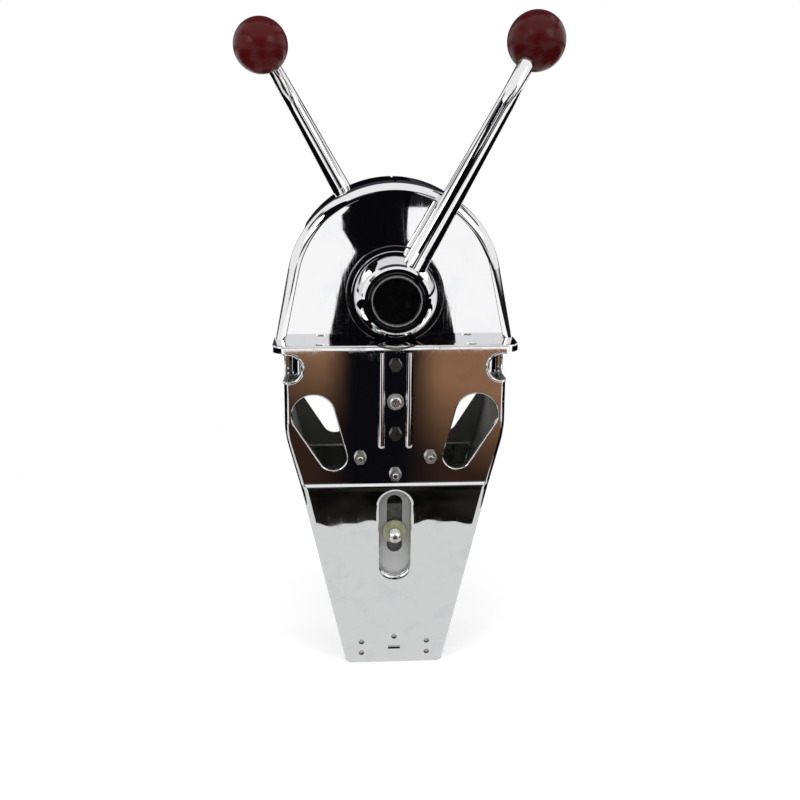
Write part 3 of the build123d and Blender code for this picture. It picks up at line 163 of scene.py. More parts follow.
def objectPlace(tree):
    return addNode(tree, "ShaderNodeTexCoord").outputs["Object"]


def splitPlace(tree, place):
    split = addNode(tree, "ShaderNodeSeparateXYZ")
    wire(tree, place, split.inputs[0])
    return split.outputs["X"], split.outputs["Y"], split.outputs["Z"]


def noiseNode(tree, place, look):
    noise = addNode(tree, "ShaderNodeTexNoise", look)
    wire(tree, place, noise.inputs["Vector"])
    return noise.outputs["Fac"]


def groupTree(name, inputs, outputs):
    tree = bpy.data.node_groups.new(name, "ShaderNodeTree")
    for label, value in inputs.items():
        socket = tree.interface.new_socket(name=label, in_out="INPUT", socket_type="NodeSocketFloat")
        socket.default_value = value
    for label in outputs:
        tree.interface.new_socket(name=label, in_out="OUTPUT", socket_type="NodeSocketFloat")
    return tree, tree.nodes.new("NodeGroupInput").outputs, tree.nodes.new("NodeGroupOutput").inputs


def scaledPlace(tree, scale, stretch=(1, 1, 1), turn=(0, 0, 0)):
    mapping = addNode(tree, "ShaderNodeMapping", {"Scale": stretch, "Rotation": turn})
    wire(tree, objectPlace(tree), mapping.inputs["Vector"])
    scaled = addNode(tree, "ShaderNodeVectorMath", operation="SCALE")
    wire(tree, mapping.outputs[0], scaled.inputs[0])
    wire(tree, scale, scaled.inputs["Scale"])
    return scaled.outputs[0]


# cloudy finger smears and fine polishing lines, each a mask
marksLook = {
    "smear": {"Scale": 1.0, "Detail": 5.0, "Roughness": 0.62, "Distortion": 0.7},
    "smearFrom": 0.48, "smearTo": 0.72,
    "line": {"Scale": 1.0, "Detail": 2.0, "Roughness": 0.5},
    "lineFrom": 0.6, "lineTo": 0.78,
    "lineStretch": (1, 1, 0.035),
    "lineTurns": [(0.2, 0.3, 0.1), (0.2, -0.9, 0.1)],
}


def makeHandlingMarks(look):
    tree, given, made = groupTree("handlingMarks", {"Smear Scale": 40.0, "Line Scale": 900.0},
                                  ["Smears", "Lines"])
    smear = noiseNode(tree, scaledPlace(tree, given["Smear Scale"]), look["smear"])
    wire(tree, rampNode(tree, smear, 0, 1, look["smearFrom"], look["smearTo"], True), made["Smears"])
    masks = []
    for turn in look["lineTurns"]:
        place = scaledPlace(tree, given["Line Scale"], look["lineStretch"], turn)
        line = noiseNode(tree, place, look["line"])
        masks.append(rampNode(tree, line, 0, 1, look["lineFrom"], look["lineTo"]))
    wire(tree, mathNode(tree, "MAXIMUM", *masks), made["Lines"])
    return tree


# slow waviness that hand polishing leaves under plating
waveLook = {"Scale": 1.0, "Detail": 1.0, "Roughness": 0.4}


def makeSurfaceWave(look):
    tree, given, made = groupTree("surfaceWave", {"Scale": 22.0, "Finer": 90.0, "Finer Share": 0.15},
                                  ["Height"])
    slow = noiseNode(tree, scaledPlace(tree, given["Scale"]), look)
    fine = noiseNode(tree, scaledPlace(tree, given["Finer"]), look)
    share = mathNode(tree, "MULTIPLY", fine, given["Finer Share"])
    wire(tree, mathNode(tree, "ADD", slow, share), made["Height"])
    return tree


# mask that is 1 on outside edges and fades over their radius, broken up along them
wearLook = {
    "samples": 4,
    "edgeFrom": 0.86, "edgeTo": 0.985,
    "patch": {"Scale": 1.0, "Detail": 3.0},
    "patchFrom": 0.35, "patchTo": 0.65, "patchLeast": 0.35,
}


def makeEdgeWear(look):
    tree, given, made = groupTree("edgeWear", {"Radius": 0.0006, "Break Up": 300.0}, ["Edge"])
    rounded = addNode(tree, "ShaderNodeBevel", samples=look["samples"])
    wire(tree, given["Radius"], rounded.inputs["Radius"])
    normal = addNode(tree, "ShaderNodeNewGeometry").outputs["Normal"]
    edge = rampNode(tree, vectorNode(tree, "DOT_PRODUCT", rounded.outputs[0], normal), 1, 0,
                    look["edgeFrom"], look["edgeTo"])
    patch = noiseNode(tree, scaledPlace(tree, given["Break Up"]), look["patch"])
    broken = rampNode(tree, patch, look["patchLeast"], 1, look["patchFrom"], look["patchTo"])
    wire(tree, mathNode(tree, "MULTIPLY", edge, broken), made["Edge"])
    return tree


# moulded or cast grain: a height, and a slow cloud for colour
grainLook = {
    "grain": {"Scale": 1.0, "Detail": 3.0, "Roughness": 0.6},
    "cloud": {"Scale": 1.0, "Detail": 4.0, "Roughness": 0.55},
}


def makeFineGrain(look):
    tree, given, made = groupTree("fineGrain", {"Scale": 1500.0, "Cloud Scale": 60.0}, ["Height", "Cloud"])
    wire(tree, noiseNode(tree, scaledPlace(tree, given["Scale"]), look["grain"]), made["Height"])
    wire(tree, noiseNode(tree, scaledPlace(tree, given["Cloud Scale"]), look["cloud"]), made["Cloud"])
    return tree


def makeRingMask():
    # ring round an axis that runs along Y, and how far out from the middle a point lies
    tree, given, made = groupTree("ringMask", {"Axis Height": 0.0, "Inner": 0.01, "Outer": 0.02,
                                               "Softness": 0.0001}, ["Ring", "Out"])
    x, y, z = splitPlace(tree, objectPlace(tree))
    flat = addNode(tree, "ShaderNodeCombineXYZ")
    wire(tree, x, flat.inputs["X"])
    wire(tree, mathNode(tree, "SUBTRACT", z, given["Axis Height"]), flat.inputs["Z"])
    distance = vectorNode(tree, "LENGTH", flat.outputs[0])
    sides = []
    for edge, start in (("Inner", 0), ("Outer", 1)):
        low = mathNode(tree, "SUBTRACT", given[edge], given["Softness"])
        high = mathNode(tree, "ADD", given[edge], given["Softness"])
        sides.append(rampNode(tree, distance, start, 1 - start, low, high))
    wire(tree, mathNode(tree, "MULTIPLY", *sides), made["Ring"])
    wire(tree, mathNode(tree, "ABSOLUTE", y), made["Out"])
    return tree


effects = {
    "handlingMarks": makeHandlingMarks(marksLook),
    "surfaceWave": makeSurfaceWave(waveLook),
    "edgeWear": makeEdgeWear(wearLook),
    "fineGrain": makeFineGrain(grainLook),
    "ringMask": makeRingMask(),
}
print("stage: shader groups built")


def useEffect(tree, name, values):
    return addNode(tree, "ShaderNodeGroup", values, node_tree=effects[name]).outputs


def marksOn(tree, smearScale, lineScale):
    return useEffect(tree, "handlingMarks", {"Smear Scale": smearScale, "Line Scale": lineScale})


def emptyMaterial(name):
    material = bpy.data.materials.new(name)
    material.use_nodes = True
    material.node_tree.nodes.clear()
    output = addNode(material.node_tree, "ShaderNodeOutputMaterial")
    return material, material.node_tree, output.inputs["Surface"]


def surfaceMaterial(name):
    material, tree, surface = emptyMaterial(name)
    shader = addNode(tree, "ShaderNodeBsdfPrincipled")
    wire(tree, shader.outputs[0], surface)
    return material, tree, shader.inputs


def bumpFrom(tree, shader, height, distance, strength=1.0):
    bump = addNode(tree, "ShaderNodeBump", {"Strength": strength, "Distance": distance})
    wire(tree, height, bump.inputs["Height"])
    wire(tree, bump.outputs[0], shader["Normal"])


# height of the levers' pivot: the pads' rims and the caps' rings are centred on it
pivotHeight = 0.0365

chromeFinish = {"lineScale": 1100.0, "lineRough": 0.05, "finerWaves": 5}
chromeLooks = {
    "domeChrome": {
        "colour": (0.80, 0.80, 0.81, 1), "worn": (0.765, 0.77, 0.78, 1), "rough": 0.015, "smear": 0.02,
        "wave": 0.000025, "waveScale": 18.0, "smearScale": 45.0,
        # painted reflection: a dark brownish ring painted on the edge of the pad behind the hub
        "rim": {"colour": (0.10, 0.085, 0.075, 1), "radius": 0.0329, "width": 0.0014, "softness": 0.0001,
                "ramps": [("out", "rises", 0.0321, 0.0323)]},
    },
    "shellChrome": {
        "colour": (0.76, 0.765, 0.77, 1), "worn": (0.71, 0.715, 0.725, 1), "rough": 0.02, "smear": 0.035,
        "wave": 0.00004, "waveScale": 26.0, "smearScale": 60.0,
        "inside": {"colour": (0.33, 0.335, 0.31, 1), "rough": 0.5, "plating": 0.35,
                   "ramps": [("depth", "falls", 0.0402, 0.0406), ("facing", "falls", -0.002, 0.0)]},
        "recess": {"colour": (0.56, 0.56, 0.56, 1), "rough": 0.27, "plating": 0.45,
                   "ramps": [("across", "falls", 0.0111, 0.0116), ("depth", "falls", 0.0333, 0.0337),
                             ("height", "rises", -0.1768, -0.1764), ("height", "falls", -0.1058, -0.1054),
                             ("facing", "rises", 0.0, 0.02)]},
    },
    "leverChrome": {
        "colour": (0.82, 0.82, 0.83, 1), "worn": (0.78, 0.78, 0.79, 1), "rough": 0.015, "smear": 0.02,
        "wave": 0.00002, "waveScale": 30.0, "smearScale": 80.0,
    },
}


def addDullRegions(tree, shader, regions, colour, rough):
    # a shell's inner faces and the floor of its recess are duller and less plated
    coord = addNode(tree, "ShaderNodeTexCoord")
    outward = vectorNode(tree, "MULTIPLY", coord.outputs["Object"], (1, 1, 0))
    x, y, z = splitPlace(tree, coord.outputs["Object"])
    # facing is over 0 where a face looks away from the upright middle line
    sources = {"across": mathNode(tree, "ABSOLUTE", x), "depth": mathNode(tree, "ABSOLUTE", y), "height": z,
               "facing": vectorNode(tree, "DOT_PRODUCT", outward, coord.outputs["Normal"])}
    platings = []
    for region in regions:
        mask = rampProduct(tree, sources, region["ramps"])
        colour = mixColours(tree, mask, colour, region["colour"])
        rough = mathNode(tree, "MAXIMUM", rough, mathNode(tree, "MULTIPLY", mask, region["rough"]))
        platings.append(rampNode(tree, mask, 1, region["plating"]))
    wire(tree, mathNode(tree, "MULTIPLY", *platings), shader["Metallic"])
    return colour, rough


def addPaintedReflectionRim(tree, rim, colour):
    # painted reflection: the edge of the round pad behind each hub is painted dark brownish grey, standing in
    # for the darker room it would mirror
    ring = useEffect(tree, "ringMask", {"Axis Height": pivotHeight, "Inner": rim["radius"],
                                        "Outer": rim["radius"] + rim["width"], "Softness": rim["softness"]})
    proud = rampProduct(tree, {"out": ring["Out"]}, rim["ramps"])
    return mixColours(tree, mathNode(tree, "MULTIPLY", ring["Ring"], proud), colour, rim["colour"])


def chromeMaterial(name, look, finish):
    material, tree, shader = surfaceMaterial(name)
    marks = marksOn(tree, look["smearScale"], finish["lineScale"])
    wave = useEffect(tree, "surfaceWave", {"Scale": look["waveScale"],
                                           "Finer": look["waveScale"] * finish["finerWaves"]})
    shader["Metallic"].default_value = 1.0
    colour = mixColours(tree, marks["Smears"], look["colour"], look["worn"])
    smears = mathNode(tree, "MULTIPLY", marks["Smears"], look["smear"])
    lines = mathNode(tree, "MULTIPLY", marks["Lines"], finish["lineRough"])
    rough = mathNode(tree, "ADD", mathNode(tree, "ADD", smears, lines), look["rough"])
    if "inside" in look:
        colour, rough = addDullRegions(tree, shader, (look["inside"], look["recess"]), colour, rough)
    if "rim" in look:
        colour = addPaintedReflectionRim(tree, look["rim"], colour)
    wire(tree, colour, shader["Base Color"])
    wire(tree, rough, shader["Roughness"])
    bumpFrom(tree, shader, wave["Height"], look["wave"])
    return material


metalFinish = {
    "cloudScale": 160.0, "cloudFrom": 0.38, "cloudTo": 0.66, "cloudRough": 0.1, "smearScale": 150.0,
    "lineScale": 1600.0, "lineRough": 0.14, "edgeRadius": 0.0005, "edgeGain": 1.25, "bump": 0.00003,
    "bumpStrength": 0.6,
}
metalLooks = {
    "groundSteel": {
        "colour": (0.58, 0.58, 0.59, 1), "dark": (0.42, 0.41, 0.40, 1), "rough": 0.22, "grain": 2600.0,
    },
    "gearSteel": {
        "colour": (0.46, 0.46, 0.47, 1), "dark": (0.26, 0.24, 0.22, 1), "rough": 0.3, "grain": 1800.0,
    },
    "zincSteel": {
        "colour": (0.82, 0.83, 0.83, 1), "dark": (0.62, 0.61, 0.56, 1), "rough": 0.27, "grain": 2200.0,
    },
    "screwSteel": {
        "colour": (0.82, 0.82, 0.82, 1), "dark": (0.62, 0.61, 0.59, 1), "rough": 0.2, "grain": 2400.0,
    },
    "springSteel": {
        "colour": (0.42, 0.42, 0.43, 1), "dark": (0.22, 0.21, 0.2, 1), "rough": 0.28, "grain": 3000.0,
    },
    "bushBronze": {
        "colour": (0.60, 0.40, 0.19, 1), "dark": (0.34, 0.2, 0.09, 1), "rough": 0.32, "grain": 2600.0,
    },
    "boltSteel": {
        "colour": (0.15, 0.15, 0.155, 1), "dark": (0.09, 0.085, 0.08, 1), "rough": 0.26, "grain": 2400.0,
    },
    "castAluminium": {
        "colour": (0.55, 0.56, 0.57, 1), "dark": (0.38, 0.38, 0.38, 1), "rough": 0.42, "grain": 900.0,
    },
}


def metalMaterial(name, look, finish):
    material, tree, shader = surfaceMaterial(name)
    grain = useEffect(tree, "fineGrain", {"Scale": look["grain"], "Cloud Scale": finish["cloudScale"]})
    wear = useEffect(tree, "edgeWear", {"Radius": finish["edgeRadius"]})
    marks = marksOn(tree, finish["smearScale"], finish["lineScale"])
    cloud = rampNode(tree, grain["Cloud"], 0, 1, finish["cloudFrom"], finish["cloudTo"])
    body = mixColours(tree, cloud, look["colour"], look["dark"])
    bright = tuple(min(1.0, v * finish["edgeGain"]) for v in look["colour"][:3]) + (1,)
    wire(tree, mixColours(tree, wear["Edge"], body, bright), shader["Base Color"])
    shader["Metallic"].default_value = 1.0
    lines = mathNode(tree, "MULTIPLY", marks["Lines"], finish["lineRough"])
    clouds = mathNode(tree, "MULTIPLY", cloud, finish["cloudRough"])
    rough = mathNode(tree, "ADD", mathNode(tree, "ADD", lines, look["rough"]), clouds)
    wire(tree, rough, shader["Roughness"])
    bumpFrom(tree, shader, grain["Height"], finish["bump"], finish["bumpStrength"])
    return material


knobLook = {
    "deep": (0.036, 0.0012, 0.002, 1), "lit": (0.078, 0.0022, 0.003, 1),
    "swirl": {"Scale": 9.0, "Detail": 3.0, "Roughness": 0.45, "Distortion": 0.8},
    "swirlFrom": 0.25, "swirlTo": 0.75,
    "rough": 0.25, "smear": 0.05, "smearScale": 120.0, "lineScale": 1500.0,
    "gloss": 0.20, "bend": 1.45, "sheen": 0.12, "sheenTint": (1.0, 0.62, 0.72, 1), "sheenRough": 0.3,
}


def knobMaterial(look):
    material, tree, shader = surfaceMaterial("knobPhenolic")
    swirl = noiseNode(tree, objectPlace(tree), look["swirl"])
    marks = marksOn(tree, look["smearScale"], look["lineScale"])
    factor = rampNode(tree, swirl, 0, 1, look["swirlFrom"], look["swirlTo"], True)
    wire(tree, mixColours(tree, factor, look["deep"], look["lit"]), shader["Base Color"])
    smears = mathNode(tree, "MULTIPLY", marks["Smears"], look["smear"])
    wire(tree, mathNode(tree, "ADD", smears, look["rough"]), shader["Roughness"])
    shader["Specular IOR Level"].default_value = look["gloss"]
    shader["IOR"].default_value = look["bend"]
    shader["Sheen Weight"].default_value = look["sheen"]
    shader["Sheen Tint"].default_value = look["sheenTint"]
    shader["Sheen Roughness"].default_value = look["sheenRough"]
    return material


plasticFinish = {
    "cloudScale": 220.0, "cloudFrom": 0.35, "cloudTo": 0.68, "smearScale": 130.0, "smearRough": 0.1,
    "lineScale": 1500.0, "lineRough": 0.1, "bumpStrength": 0.6,
}
plasticLooks = {
    "capBlack": {
        "colour": (0.0015, 0.0015, 0.0018, 1), "lit": (0.003, 0.003, 0.0035, 1), "rough": 0.04, "coat": 0.6,
        "grain": 1200.0, "bump": 0.000002,
        "ring": {"radius": 0.0165, "width": 0.0006, "colour": (0.60, 0.60, 0.62, 1), "rough": 0.3,
                 "softness": 0.00008},
    },
    "blackAcetal": {
        "colour": (0.055, 0.055, 0.05, 1), "lit": (0.11, 0.11, 0.10, 1), "rough": 0.42, "coat": 0.0,
        "grain": 2600.0, "bump": 0.00002,
    },
    "nylon": {
        "colour": (0.30, 0.30, 0.18, 1), "lit": (0.44, 0.44, 0.29, 1), "rough": 0.35, "coat": 0.15,
        "grain": 1500.0, "bump": 0.00001,
        "glowThrough": 0.4, "glowReach": (0.0015, 0.0013, 0.0008),
    },
}


def addBrightRing(tree, shader, ring, colour, rough):
    # polished ring let into the cap's face, over its ridge
    inner, outer = ring["radius"] - ring["width"] / 2, ring["radius"] + ring["width"] / 2
    mask = useEffect(tree, "ringMask", {"Axis Height": pivotHeight, "Inner": inner, "Outer": outer,
                                        "Softness": ring["softness"]})["Ring"]
    wire(tree, mask, shader["Metallic"])
    return (mixColours(tree, mask, colour, ring["colour"]),
            mathNode(tree, "MAXIMUM", rough, mathNode(tree, "MULTIPLY", mask, ring["rough"])))


def plasticMaterial(name, look, finish):
    material, tree, shader = surfaceMaterial(name)
    grain = useEffect(tree, "fineGrain", {"Scale": look["grain"], "Cloud Scale": finish["cloudScale"]})
    marks = marksOn(tree, finish["smearScale"], finish["lineScale"])
    factor = rampNode(tree, grain["Cloud"], 0, 1, finish["cloudFrom"], finish["cloudTo"])
    colour = mixColours(tree, factor, look["colour"], look["lit"])
    smears = mathNode(tree, "MULTIPLY", marks["Smears"], finish["smearRough"])
    lines = mathNode(tree, "MULTIPLY", marks["Lines"], finish["lineRough"])
    rough = mathNode(tree, "ADD", mathNode(tree, "ADD", smears, look["rough"]), lines)
    if "ring" in look:
        colour, rough = addBrightRing(tree, shader, look["ring"], colour, rough)
    wire(tree, colour, shader["Base Color"])
    wire(tree, rough, shader["Roughness"])
    shader["Coat Weight"].default_value = look["coat"]
    if "glowThrough" in look:
        shader["Subsurface Weight"].default_value = look["glowThrough"]
        shader["Subsurface Radius"].default_value = look["glowReach"]
        shader["Subsurface Scale"].default_value = 1.0
    bumpFrom(tree, shader, grain["Height"], look["bump"], finish["bumpStrength"])
    return material


materials = {"knobPhenolic": knobMaterial(knobLook)}
for makeMaterial, looks, finish in ((chromeMaterial, chromeLooks, chromeFinish),
                                    (metalMaterial, metalLooks, metalFinish),
                                    (plasticMaterial, plasticLooks, plasticFinish)):
    for name, look in looks.items():
        materials[name] = makeMaterial(name, look, finish)

slotToMaterial = {
    "dome_chrome": "domeChrome", "shell_chrome": "shellChrome", "lever_chrome": "leverChrome",
    "knob_phenolic": "knobPhenolic", "cap_black": "capBlack", "cast_aluminium": "castAluminium",
    "ground_steel": "groundSteel", "gear_steel": "gearSteel", "zinc_steel": "zincSteel",
    "screw_steel": "screwSteel", "spring_steel": "springSteel", "bush_bronze": "bushBronze",
    "black_acetal": "blackAcetal", "nylon": "nylon",
}
# the tie bolts and their nuts are darker than the slot they share
nodeToMaterial = {"tie_bolts": "boltSteel", "tie_nuts": "boltSteel"}
for part in frame["record"]["subparts"]:
    finish = nodeToMaterial.get(part["node"], slotToMaterial[part["material_slot"]])
    solid = nodes[part["node"]]
    solid.data.materials.clear()
    solid.data.materials.append(materials[finish])


def linkObject(name, data):
    obj = bpy.data.objects.new(name, data)
    scene.collection.objects.link(obj)
    return obj


def addPiece(name, data, slotName, body):
    data.materials.append(materials[slotToMaterial[slotName]])
    piece = linkObject(name, data)
    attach(piece, body)


# rolled rim round each shell's corner notch, over the bend from the panel to the side
notchRim = {"tube": 0.0011, "roundness": 4, "centre": (0.0745, -0.013), "hole": 0.0105, "panel": -0.0425,
            "side": 0.0775, "corner": 0.0032, "reach": -0.0205, "steps": 48}


def notchPath(look):
    x0, z0 = look["centre"]
    first = math.acos((look["side"] - x0) / look["hole"])
    points = [(look["side"], look["reach"], z0 + look["hole"] * math.sin(first))]
    for k in range(look["steps"] + 1):
        angle = first + (2 * math.pi - 2 * first) * k / look["steps"]
        x, z = x0 + look["hole"] * math.cos(angle), z0 + look["hole"] * math.sin(angle)
        past = max(0.0, x - look["side"] + look["corner"])
        bulge = look["corner"] - math.sqrt(max(0.0, look["corner"] ** 2 - past ** 2))
        points.append((x, look["panel"] + bulge, z))
    points.append((look["side"], look["reach"], z0 - look["hole"] * math.sin(first)))
    return points


def notchRimPiece(name, points, look):
    curve = bpy.data.curves.new(name, "CURVE")
    curve.dimensions = "3D"
    curve.bevel_depth = look["tube"]
    curve.bevel_resolution = look["roundness"]
    line = curve.splines.new("POLY")
    line.points.add(len(points) - 1)
    for point, place in zip(line.points, points):
        point.co = (*place, 1)
    line.use_cyclic_u = True
    line.use_smooth = True
    addPiece(name, curve, "shell_chrome", "frame")


for shell, turn in (("front", 1), ("rear", -1)):
    for label, side in (("Left", -1), ("Right", 1)):
        path = [(x * side * turn, y * turn, z) for x, y, z in notchPath(notchRim)]
        notchRimPiece(shell + label + "NotchRim", path, notchRim)

# threaded stud with a chamfered, slightly crowned end, on the screw of each throttle slide
slideStud = {"height": -0.1413, "seat": 0.0381, "radius": 0.0042, "length": 0.0072, "thread": 0.0004,
             "turns": 6, "crest": (0.4, 0.6), "chamfer": 0.0009, "crown": 0.0010, "crownFoot": 0.4,
             "sides": 48, "steps": 6, "crease": 0.6}


def studOutline(look):
    # radius and reach of each ring of corners, from the seat to the last one before the tip
    root, pitch = look["radius"] - look["thread"], look["length"] / look["turns"]
    outline = []
    for k in range(look["turns"]):
        outline.append((root, k * pitch))
        outline += [(look["radius"], (k + share) * pitch) for share in look["crest"]]
    outline.append((root, look["length"]))
    for k in range(look["steps"]):
        angle = math.pi / 2 * k / look["steps"]
        rise = look["crownFoot"] + (1 - look["crownFoot"]) * math.sin(angle)
        outline.append(((root - look["chamfer"]) * math.cos(angle), look["length"] + look["crown"] * rise))
    return outline


def slideStudPiece(name, turn, body, look):
    form = bmesh.new()

    def corner(radius, reach, angle):
        return form.verts.new((turn * radius * math.sin(angle), -turn * (look["seat"] + reach),
                               look["height"] + radius * math.cos(angle)))

    sides = look["sides"]
    rings = [[corner(radius, reach, 2 * math.pi * k / sides) for k in range(sides)]
             for radius, reach in studOutline(look)]
    tip = corner(0, look["length"] + look["crown"], 0)
    form.faces.new(rings[0])
    for near, far in zip(rings, rings[1:]):
        for k in range(sides):
            follow = (k + 1) % sides
            form.faces.new((near[k], near[follow], far[follow], far[k]))
    for k in range(sides):
        form.faces.new((rings[-1][k], rings[-1][(k + 1) % sides], tip))
    bmesh.ops.recalc_face_normals(form, faces=form.faces)
    mesh = bpy.data.meshes.new(name)
    form.to_mesh(mesh)
    form.free()
    mesh.shade_smooth()
    mesh.set_sharp_from_angle(angle=look["crease"])
    addPiece(name, mesh, "screw_steel", body)


slideStudPiece("frontSlideStud", 1, "front_throttle_slide", slideStud)
slideStudPiece("rearSlideStud", -1, "rear_throttle_slide", slideStud)
print("stage: notch rims and slide studs made")


def flatPiece(name, outline, height, material):
    mesh = bpy.data.meshes.new(name)
    mesh.from_pydata([(x, y, height) for x, y in outline], [], [list(range(len(outline)))])
    mesh.materials.append(material)
    obj = linkObject(name, mesh)
    return obj


def rayKinds(tree):
    # rays from the camera, and rays that a mirror or clear surface sends on
    path = addNode(tree, "ShaderNodeLightPath").outputs
    fromMirror = mathNode(tree, "MAXIMUM", path["Is Glossy Ray"], path["Is Transmission Ray"])
    return path["Is Camera Ray"], fromMirror


# pale floor: it keeps the shadow near the control and turns to plain white further out. In reflections it
# glows instead, with a painted shade that makes it dimmer near the control
floorLook = {
    "height": cadBox[0][2] - 0.0002, "size": 8.0, "colour": (0.86, 0.86, 0.86, 1), "lift": 0.30,
    "shadowFrom": 0.3, "shadowTo": 0.62,
    # floor as mirrors see it: painted shade, glowing dimmer near the control than further out
    "mirrorShadeNear": 0.80, "mirrorFar": 1.15, "mirrorFrom": 0.35, "mirrorTo": 1.2,
}
white = (1, 1, 1, 1)


def floorMaterial(look):
    material, tree, surface = emptyMaterial("stageFloor")
    distance = vectorNode(tree, "LENGTH", addNode(tree, "ShaderNodeNewGeometry").outputs["Position"])
    plain = addNode(tree, "ShaderNodeBsdfDiffuse", {"Color": look["colour"]})
    lift = addNode(tree, "ShaderNodeEmission", {"Color": white, "Strength": look["lift"]})
    lifted = addNode(tree, "ShaderNodeAddShader")
    wire(tree, plain.outputs[0], lifted.inputs[0])
    wire(tree, lift.outputs[0], lifted.inputs[1])
    paper = addNode(tree, "ShaderNodeEmission", {"Color": white, "Strength": 1.0})
    faded = mixShaders(tree, rampNode(tree, distance, 0, 1, look["shadowFrom"], look["shadowTo"], True),
                       lifted.outputs[0], paper.outputs[0])
    # painted shade: mirrors see the floor glow dimmer near the control and brighter further out
    mirrored = addNode(tree, "ShaderNodeEmission", {"Color": white})
    wire(tree, rampNode(tree, distance, look["mirrorShadeNear"], look["mirrorFar"], look["mirrorFrom"],
                        look["mirrorTo"], True), mirrored.inputs["Strength"])
    fromCamera, fromMirror = rayKinds(tree)
    seen = mixShaders(tree, fromCamera, plain.outputs[0], faded)
    wire(tree, mixShaders(tree, fromMirror, seen, mirrored.outputs[0]), surface)
    return material


half = floorLook["size"] / 2
flatPiece("stageFloor", [(-half, -half), (half, -half), (half, half), (-half, half)], floorLook["height"],
          floorMaterial(floorLook))

# dark and brown cards that only reflections see: a wavy strip, a brown sheet and black shapes, lying on the
# floor or standing upright
inkColour = (0.003, 0.003, 0.004, 1)
edgeCard = {
    "far": [(0.105, -0.28), (0.117, -0.34), (0.122, -0.40), (-0.086, -0.40), (-0.086, -0.33), (-0.089, -0.30),
            (-0.096, -0.26)],
    "near": -0.222, "left": -0.102, "right": 0.108, "steps": 60,
    "waveSize": 0.003, "slowWave": 97.0, "quickWave": 231.0, "quickShare": 0.6, "quickShift": 1.3,
    "cloud": {"Scale": 14.0, "Detail": 3.0}, "cloudFrom": 0.4, "cloudTo": 0.66,
    "dark": (0.003, 0.003, 0.0025, 1), "light": (0.02, 0.018, 0.014, 1),
}
brownCard = {
    "outline": [(-0.29, -1.08), (0.34, -1.08), (0.34, -0.40), (-0.29, -0.40)],
    "leftFrom": -0.088, "leftTo": -0.025, "rightFrom": -0.02, "rightTo": 0.05, "splay": 0.09,
    "lightFrom": -0.98, "lightTo": -0.56,
    "middle": (0.004, 0.004, 0.006, 1), "dark": (0.035, 0.018, 0.012, 1), "light": (0.30, 0.155, 0.085, 1),
}
lyingCards = {
    "wing": [(0.52, -0.62), (2.6, -0.62), (2.6, 0.95), (0.52, 0.95)],
    "leftWing": [(-1.2, -0.12), (-0.24, -0.12), (-0.24, 0.5), (-1.2, 0.5)],
}
standingCards = {
    "stand": {"away": -1.1, "outline": [
        (-0.0708, -0.2535), (-0.0687, -0.2376), (-0.0563, -0.18), (-0.0424, -0.123), (-0.029, -0.099),
        (-0.0177, -0.080), (-0.0413, -0.040), (-0.0431, -0.0125), (-0.0242, 0.0055), (-0.03, 0.04),
        (-0.07, 0.09), (-0.07, 0.60), (0.17, 0.60), (0.17, 0.09), (0.09, 0.04), (0.080, 0.0056),
        (0.078, -0.022), (0.077, -0.058), (0.111, -0.080), (0.127, -0.099), (0.142, -0.133), (0.152, -0.164),
        (0.1645, -0.21), (0.172, -0.2535)]},
    "leftStrip": {"away": -1.1, "outline": [
        (-0.35, -0.2535), (-0.17, -0.2535), (-0.19, -0.08), (-0.24, 0.02), (-0.24, 0.30), (-0.32, 0.30),
        (-0.32, 0.02), (-0.35, -0.06)]},
    "rightStrip": {"away": -1.1, "outline": [(0.45, -0.2535), (0.50, -0.2535), (0.50, 0.30), (0.45, 0.30)]},
    "shoulder": {"away": -0.5, "outline": [
        (-0.42, 0.28), (-0.20, 0.165), (-0.13, 0.132), (-0.039, 0.13), (-0.039, 0.095), (0.0, 0.075),
        (0.095, 0.075), (0.10, 0.12), (0.06, 0.165), (-0.045, 0.238), (-0.10, 0.252), (-0.20, 0.36),
        (-0.22, 0.44), (-0.40, 0.60), (-1.8, 1.75), (-1.8, 1.45), (-0.70, 0.68), (-0.47, 0.46),
        (-0.36, 0.33)]},
}
cardLift = 0.0006  # lying cards, over the floor


def cardMaterial(name, colourAt, look):
    material, tree, surface = emptyMaterial(name)
    glow = addNode(tree, "ShaderNodeEmission")
    feed(tree, colourAt(tree, look), glow.inputs["Color"])
    wire(tree, glow.outputs[0], surface)
    return material


def plainColour(tree, colour):
    return colour


def brownSides(tree, look):
    # black down the middle, brown to both sides, lighter further out
    x, y = splitPlace(tree, objectPlace(tree))[:2]
    left = rampNode(tree, x, 1, 0, look["leftFrom"], look["leftTo"], True)
    splayed = mathNode(tree, "ADD", x, mathNode(tree, "MULTIPLY", y, look["splay"]))
    right = rampNode(tree, splayed, 0, 1, look["rightFrom"], look["rightTo"], True)
    outer = rampNode(tree, mathNode(tree, "SUBTRACT", y, x), 1, 0, look["lightFrom"], look["lightTo"])
    brown = mixColours(tree, outer, look["dark"], look["light"])
    return mixColours(tree, mathNode(tree, "MAXIMUM", left, right), look["middle"], brown)


def cloudyEdge(tree, look):
    # warm grey, uneven, so that its mirror image isn't flat black
    cloud = noiseNode(tree, objectPlace(tree), look["cloud"])
    factor = rampNode(tree, cloud, 0, 1, look["cloudFrom"], look["cloudTo"], True)
    return mixColours(tree, factor, look["dark"], look["light"])


def wavyEdge(look):
    points = []
    for k in range(look["steps"] + 1):
        x = look["left"] + (look["right"] - look["left"]) * k / look["steps"]
        wave = math.sin(x * look["slowWave"])
        wave += look["quickShare"] * math.sin(x * look["quickWave"] + look["quickShift"])
        points.append((x, look["near"] + look["waveSize"] * wave))
    return points


def onlyInReflections(obj):
    obj.visible_camera = False
    obj.visible_diffuse = False
    obj.visible_shadow = False
    obj.visible_volume_scatter = False


